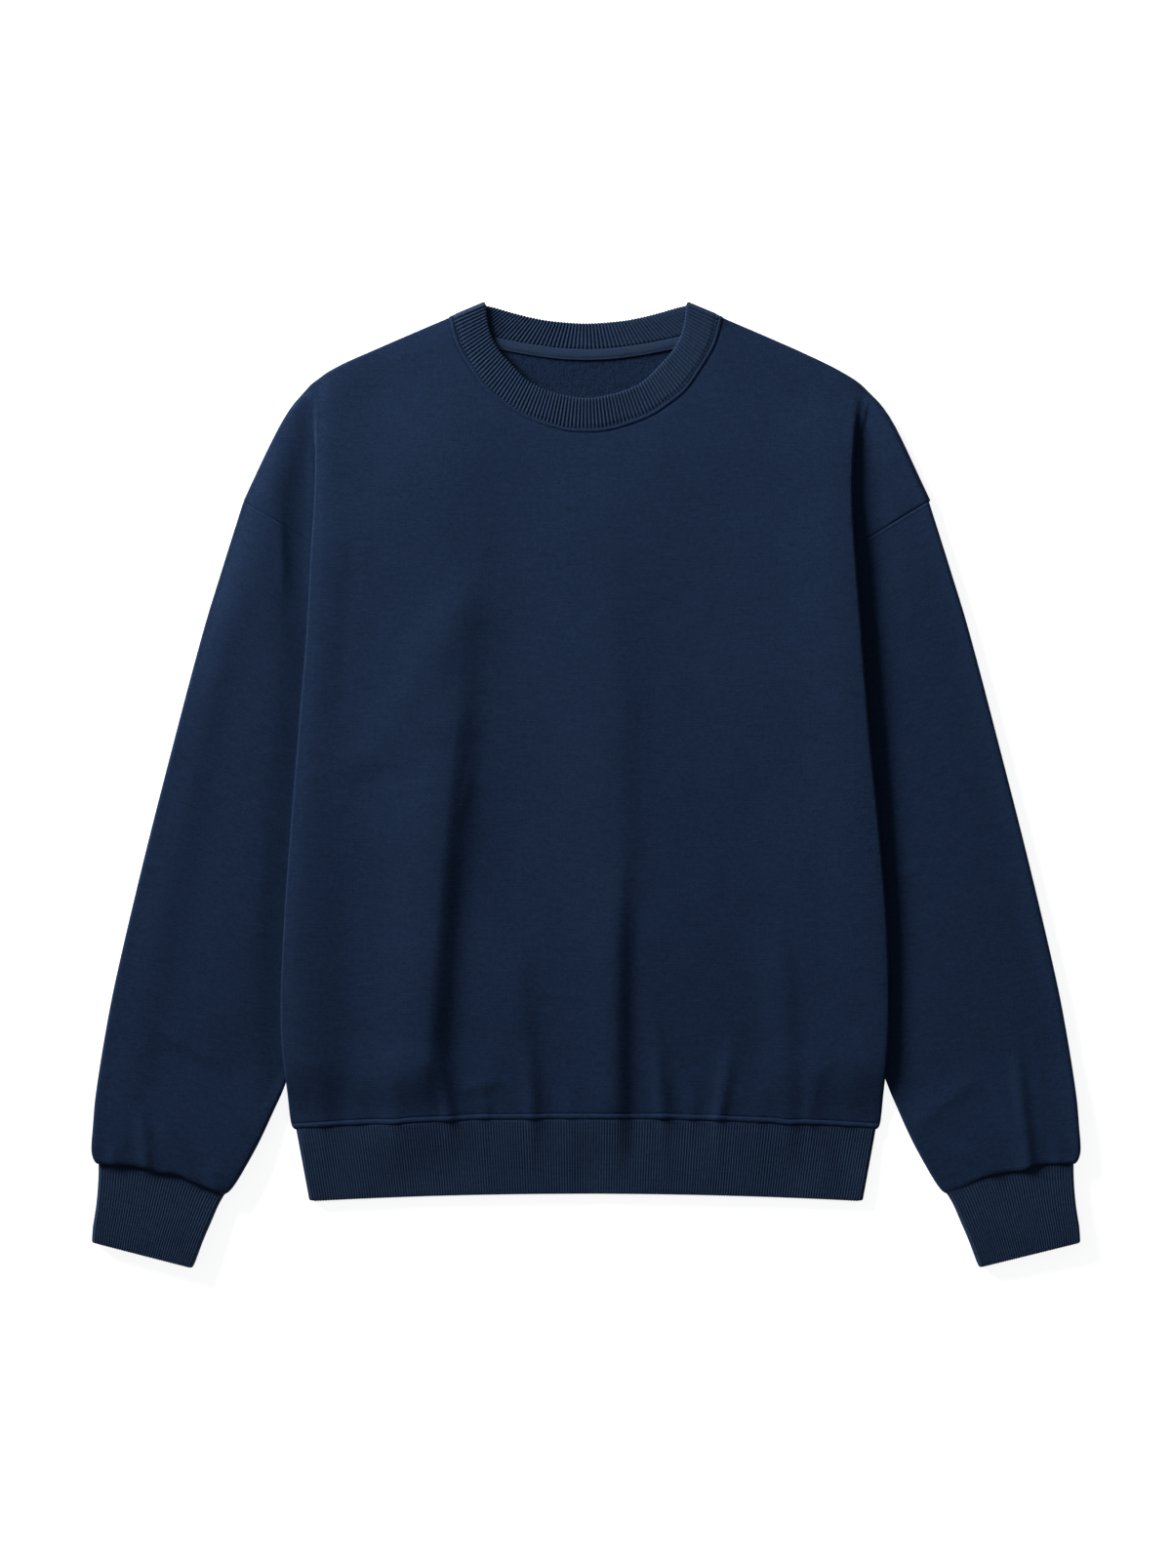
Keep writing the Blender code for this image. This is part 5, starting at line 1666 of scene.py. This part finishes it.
def cuff_place(across, down, side):
    """Cuff from above: across it from its outer to its inner edge, down it from its seam."""
    outer_y = mix(CUFF_OUTER[-1][0], CUFF_OUTER[0][0], down)
    inner_y = mix(CUFF_INNER[-1][0], CUFF_INNER[0][0], down)
    outer = (along_table(CUFF_OUTER, outer_y) - RIB_INSET, outer_y)
    inner = (along_table(CUFF_INNER, inner_y) + RIB_INSET, inner_y)
    seam_x, seam_y = sleeve_plan(1.0, mix(CUFF_FROM, CUFF_TO, across), side)
    at_seam = (1 - down) ** 2
    return (mix(mix(outer[0], inner[0], across), seam_x, at_seam),
            mix(mix(outer[1], inner[1], across), seam_y + SEAM_OVER, at_seam))


def make_cuff(name, side):
    def upper(across, down):
        x, y = cuff_place(across, down, side)
        seam_x, seam_y = cuff_place(across, 0.0, side)
        gathers = 0.8 * tuck_height(SLEEVE_TUCKS, side * seam_x, seam_y) * (1 - ease(3 * down))
        right = rightward(across, side)
        tilt = END_STAYS * END_PUFF[side] * mix(*END_LEAN, right)
        tilt += CUFF_TILT[side] * ease(1.2 * down) * mix(0.6, 1.0, right)
        return side * x, y, RIB_FLOOR_LEVEL + RIB_LAYER_STEP + gathers + tilt

    def lower(across, down):
        x, y = cuff_place(across, down, side)
        return side * x, y, RIB_FLOOR_LEVEL

    def ways_out(down):
        return ways_out_of(lambda d, c: cuff_place(c, d, side), down, side)[1]

    return ribbed_band(name, (upper, lower, ways_out), CUFF_LENGTH,
                       (CUFF_RIBS, CUFF_RIBS, TURN_RIBS), CUFF_RELIEF, seam_pinch)


cuffs = [make_cuff("cuff_of_left_sleeve", -1), make_cuff("cuff_of_right_sleeve", 1)]

# %% [markdown]
# ## The neckband
#
# The neckband is a short tube, longer and lower in front than at the back.  It could be
# swept along one round neckline; two curves, one for each half, let the front stand away
# from the back so that the opening is seen.

# %% Neckband
COLLAR_FRONT_RIBS = 96
COLLAR_BACK_RIBS = 66
COLLAR_TURN_RIBS = 2
COLLAR_LENGTH = 23.1
COLLAR_RELIEF = 0.7
RIB_STITCHES_DOWN = 1.6 # mm below the seam, where the ribs are sewn down


def neckband_place(seam_curve, edge_curve, across, down):
    """Neckband from above: across it from left to right, down it from its seam."""
    share = abs(2 * across - 1)
    (x, y), (dx, dy) = point_at(seam_curve, share)
    edge, _ = point_at(edge_curve, share)
    x = mix(x + dy * SEAM_OVER, edge[0], down)
    y = mix(y - dx * SEAM_OVER, edge[1], down)
    return (x if across > 0.5 else -x), y, share


def neckband_upper(across, down):
    x, y, share = neckband_place(FRONT_NECK_CURVE, FRONT_EDGE_CURVE, across, down)
    seam_x, seam_y, _ = neckband_place(FRONT_NECK_CURVE, FRONT_EDGE_CURVE, across, 0.0)
    seam_level = front_level(seam_x, seam_y, side_of(across - 0.5))
    edge_at = mix(COLLAR_EDGE_LEVEL, COLLAR_SIDE_LEVEL, ease(share))
    return x, y, mix(seam_level, edge_at, down)


def neckband_lower(across, down):
    x, y, _ = neckband_place(BACK_NECK_CURVE, BACK_EDGE_CURVE, across, down)
    return x, y, RIB_FLOOR_LEVEL


def neckband_pinch(distance):
    """The ribs are sewn down just inside the seam."""
    return -0.55 * hill(distance, 0.5) - 0.5 * hill(distance - RIB_STITCHES_DOWN, 0.5)


neck_tube = (neckband_upper, neckband_lower,
             lambda down: (COLLAR_WAY_OUT, (-COLLAR_WAY_OUT[0], COLLAR_WAY_OUT[1])))
collar = ribbed_band("neck_ribbing", neck_tube, COLLAR_LENGTH,
                     (COLLAR_FRONT_RIBS, COLLAR_BACK_RIBS, COLLAR_TURN_RIBS),
                     COLLAR_RELIEF, neckband_pinch)

# %% [markdown]
# ## The neck tape
#
# A narrow strip of knit covers the back neck seam from shoulder to shoulder, so that it
# doesn't scratch.  It is sewn down along its lower edge.  It could be painted on the
# back, but it has an edge that shows; rows beside the back neck's curve give it one.

# %% Tape
TAPE_WIDTH = 8.0
TAPE_REACH = 0.9
TAPE_LEVEL = FLEECE + SEAM_GAP + TAPE / 2
TAPE_ROWS = (-0.4, 0.3, 0.9, 1.6, 3.0, 4.4, 5.6, 6.3, 6.9, 7.5, TAPE_WIDTH)
TAPE_STITCHES_DOWN = 6.6


def tape_place(share, below):
    (x, y), (dx, dy) = point_at(BACK_NECK_CURVE, abs(share))
    return side_of(share) * (x + dy * below), y - dx * below


def make_tape():
    rows = []
    for below in TAPE_ROWS:
        row = []
        for share in spread(-TAPE_REACH, TAPE_REACH, 0.012):
            x, y = tape_place(share, below)
            sewn_down = 0.35 * hill(below - TAPE_STITCHES_DOWN, 0.5)
            z = TAPE_LEVEL + 0.25 * math.sin(math.pi * below / TAPE_WIDTH) - sewn_down
            row.append((x, y, z, x, y))
        rows.append(row)
    bm = bmesh.new()
    lay_cloth(bm, rows)
    return finish_cloth("tape_of_neck", bm, (tape_knit,), TAPE, (0.0, 335.0))


tape = make_tape()

# %% [markdown]
# ## Stitches
#
# A row of stitches is up to a few hundred short threads.  A dashed line in the material
# would be lighter, but real ones catch the lamp; each is a bean of two dozen faces, sunk
# half way into the cloth, with a space left before the next.

# %% Rows of stitches
STITCH_WIDE = 0.45
HALF_IN_METRES = 2000.0 # divides a length in mm into half of it in metres
BODY_STITCH = (2.6, 1.9)    # mm from one stitch to the next, and length of one
RIB_STITCH = (3.2, 1.6)
ARM_STITCH = (2.5, 1.8)
TAPE_STITCH = (2.3, 1.6)
PAST_RIDGE = 0.5        # mm from the seam's ridge to the row beside it
PAST_HEM_RIDGE = 0.4
CAP_STITCHES = 3.4      # mm from the armhole seam to the row on the cap


def sew(bm, places, pitch, length):
    """Stitches along a line of places on the cloth's surface, one every pitch."""
    lengths = [0.0]
    for p, q in zip(places, places[1:]):
        lengths.append(lengths[-1] + math.dist(p, q))
    at, i, made = pitch / 2, 0, 0
    while at < lengths[-1]:
        while lengths[i + 1] < at:
            i += 1
        p, q = Vector(places[i]), Vector(places[i + 1])
        t = (at - lengths[i]) / (lengths[i + 1] - lengths[i])
        turn = (q - p).to_track_quat('X', 'Z').to_matrix().to_4x4()
        thin = STITCH_WIDE / HALF_IN_METRES
        size = Matrix.Diagonal((length / HALF_IN_METRES, thin, thin, 1.0))
        bmesh.ops.create_uvsphere(bm, u_segments=6, v_segments=4, radius=1.0,
                                  matrix=Matrix.Translation(p.lerp(q, t) * MM) @ turn @ size)
        at += pitch
        made += 1
    return made


def finish_stitches(name, bm):
    layer = bm.loops.layers.uv.new("cloth")
    for face in bm.faces:
        for loop in face.loops:
            loop[layer].uv = (loop.vert.co.x, loop.vert.co.y)
    return finish_cloth(name, bm, (thread,))


def surface(x, y, side, from_neck=FAR):
    """Upper side of the front's cloth."""
    return front_level(x, y, side) + front_detail(x, y, side, from_neck) + FLEECE / 2


print("a stitch is", STITCH_WIDE, "mm wide")

# %% [markdown]
# ## The seams' stitches
#
# Each row follows its own seam at the distance where the needle went: two rows round the
# neck, one over the hem band, two at each armhole and one along the tape.  One curve for
# all would be shorter, but each seam already has a function that says where it runs.

# %% Stitches of each seam
def neck_stitches():
    bm = bmesh.new()
    on_body, on_rib = [], []
    off = NECK_SEAM[0] + PAST_RIDGE
    for share in spread(-1.0, 1.0, 0.008):
        side = side_of(share)
        (x, y), (out_x, out_y) = neck_border(abs(share))
        px, py = side * (x + off * out_x), y + off * out_y
        on_body.append((px, py, surface(px, py, side, off)))
        rib_x, rib_y, rib_z = neckband_upper((share + 1) / 2, RIB_STITCHES_DOWN / COLLAR_LENGTH)
        on_rib.append((rib_x, rib_y, rib_z + RIB / 2 - 0.05))
    total = sew(bm, on_body, *BODY_STITCH) + sew(bm, on_rib, *RIB_STITCH)
    print(total, "stitches round the neck")
    return finish_stitches("stitches_of_neck", bm)


def hem_stitches():
    bm = bmesh.new()
    row = []
    for x in spread(-222.0, 222.0, 3.0):
        y = hem_seam_y(x) + HEM_SEAM[0] + PAST_HEM_RIDGE
        row.append((x, y, surface(x, y, side_of(x))))
    print(sew(bm, row, *BODY_STITCH), "stitches over the hem seam")
    return finish_stitches("stitches_of_hem", bm)


def armhole_stitches():
    bm = bmesh.new()
    total = 0
    along = (ARM_SEAM[0] + PAST_RIDGE) / SLEEVE_LENGTH
    run_x, run_y = ARM_RUN
    for side in (-1, 1):
        on_sleeve, on_cap = [], []
        for across in spread(0.02, 0.98, 0.02):
            x, y, z = sleeve_upper(along, across, side)
            on_sleeve.append((x, y, z + FLEECE / 2))
            x, y = armhole_point(1 - across)
            x -= run_y / ARM_RUN_LENGTH * CAP_STITCHES
            y += run_x / ARM_RUN_LENGTH * CAP_STITCHES
            if x > body_edge(y, side) - 4.0:
                ridge = seam_swell(CAP_STITCHES, *ARM_SEAM)
                level = CAP_LEVEL + cap_level(side * x, y, side) + ridge
                on_cap.append((side * x, y, level + FLEECE / 2))
        total += sew(bm, on_sleeve, *ARM_STITCH) + sew(bm, on_cap, *ARM_STITCH)
    print(total, "stitches at the armholes")
    return finish_stitches("stitches_of_armholes", bm)


def tape_stitches():
    bm = bmesh.new()
    row = []
    for share in spread(-0.89, 0.89, 0.012):
        x, y = tape_place(share, TAPE_STITCHES_DOWN)
        row.append((x, y, TAPE_LEVEL + TAPE / 2 - 0.1))
    print(sew(bm, row, *TAPE_STITCH), "stitches on the tape")
    return finish_stitches("stitches_of_tape", bm)


stitching = {"fleece": [neck_stitches(), hem_stitches(), armhole_stitches()],
             "tape": [tape_stitches()]}

# %% [markdown]
# ## Handing over
#
# Each piece rides on the one rigid body and hides the solid it stands for.  Nine calls by
# hand could drift apart, so one table holds what differs and one loop takes it; slot,
# flat cut and what it rests on are listed there but not passed on.

# %% Pieces, bodies and cuts
CLOTHS = (  # piece, solid, slot, flat width and length, flat area, rests on
    (front, "body_front", "fleece", (0.580, 0.660), 0.295,
     ["back", "sleeve_of_left_side", "sleeve_of_right_side"]),
    (back, "body_back", "fleece", (0.540, 0.640), 0.263, ["floor"]),
    (sleeves[0], "sleeve_left", "fleece", (0.290, 0.540), 0.128, ["floor"]),
    (sleeves[1], "sleeve_right", "fleece", (0.290, 0.540), 0.128, ["floor"]),
    (hem_band, "hem_band", "rib", (0.900, 0.060), None, ["floor"]),
    (cuffs[0], "cuff_left", "rib", (0.190, 0.060), None, ["floor"]),
    (cuffs[1], "cuff_right", "rib", (0.190, 0.060), None, ["floor"]),
    (collar, "collar", "rib", (0.560, 0.024), None, ["back"]),
    (tape, "neck_tape", "tape", (0.200, 0.010), 0.0016, ["back"]),
)
for piece, solid, slot, flat, area, rests_on in CLOTHS:
    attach(piece, "root")
    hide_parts(solid)
    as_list(rests_on)
for slot, pieces in stitching.items():
    for piece in pieces:
        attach(piece, "root")
print(len(CLOTHS), "pieces stand for solids,", sum(map(len, stitching.values())), "are stitches")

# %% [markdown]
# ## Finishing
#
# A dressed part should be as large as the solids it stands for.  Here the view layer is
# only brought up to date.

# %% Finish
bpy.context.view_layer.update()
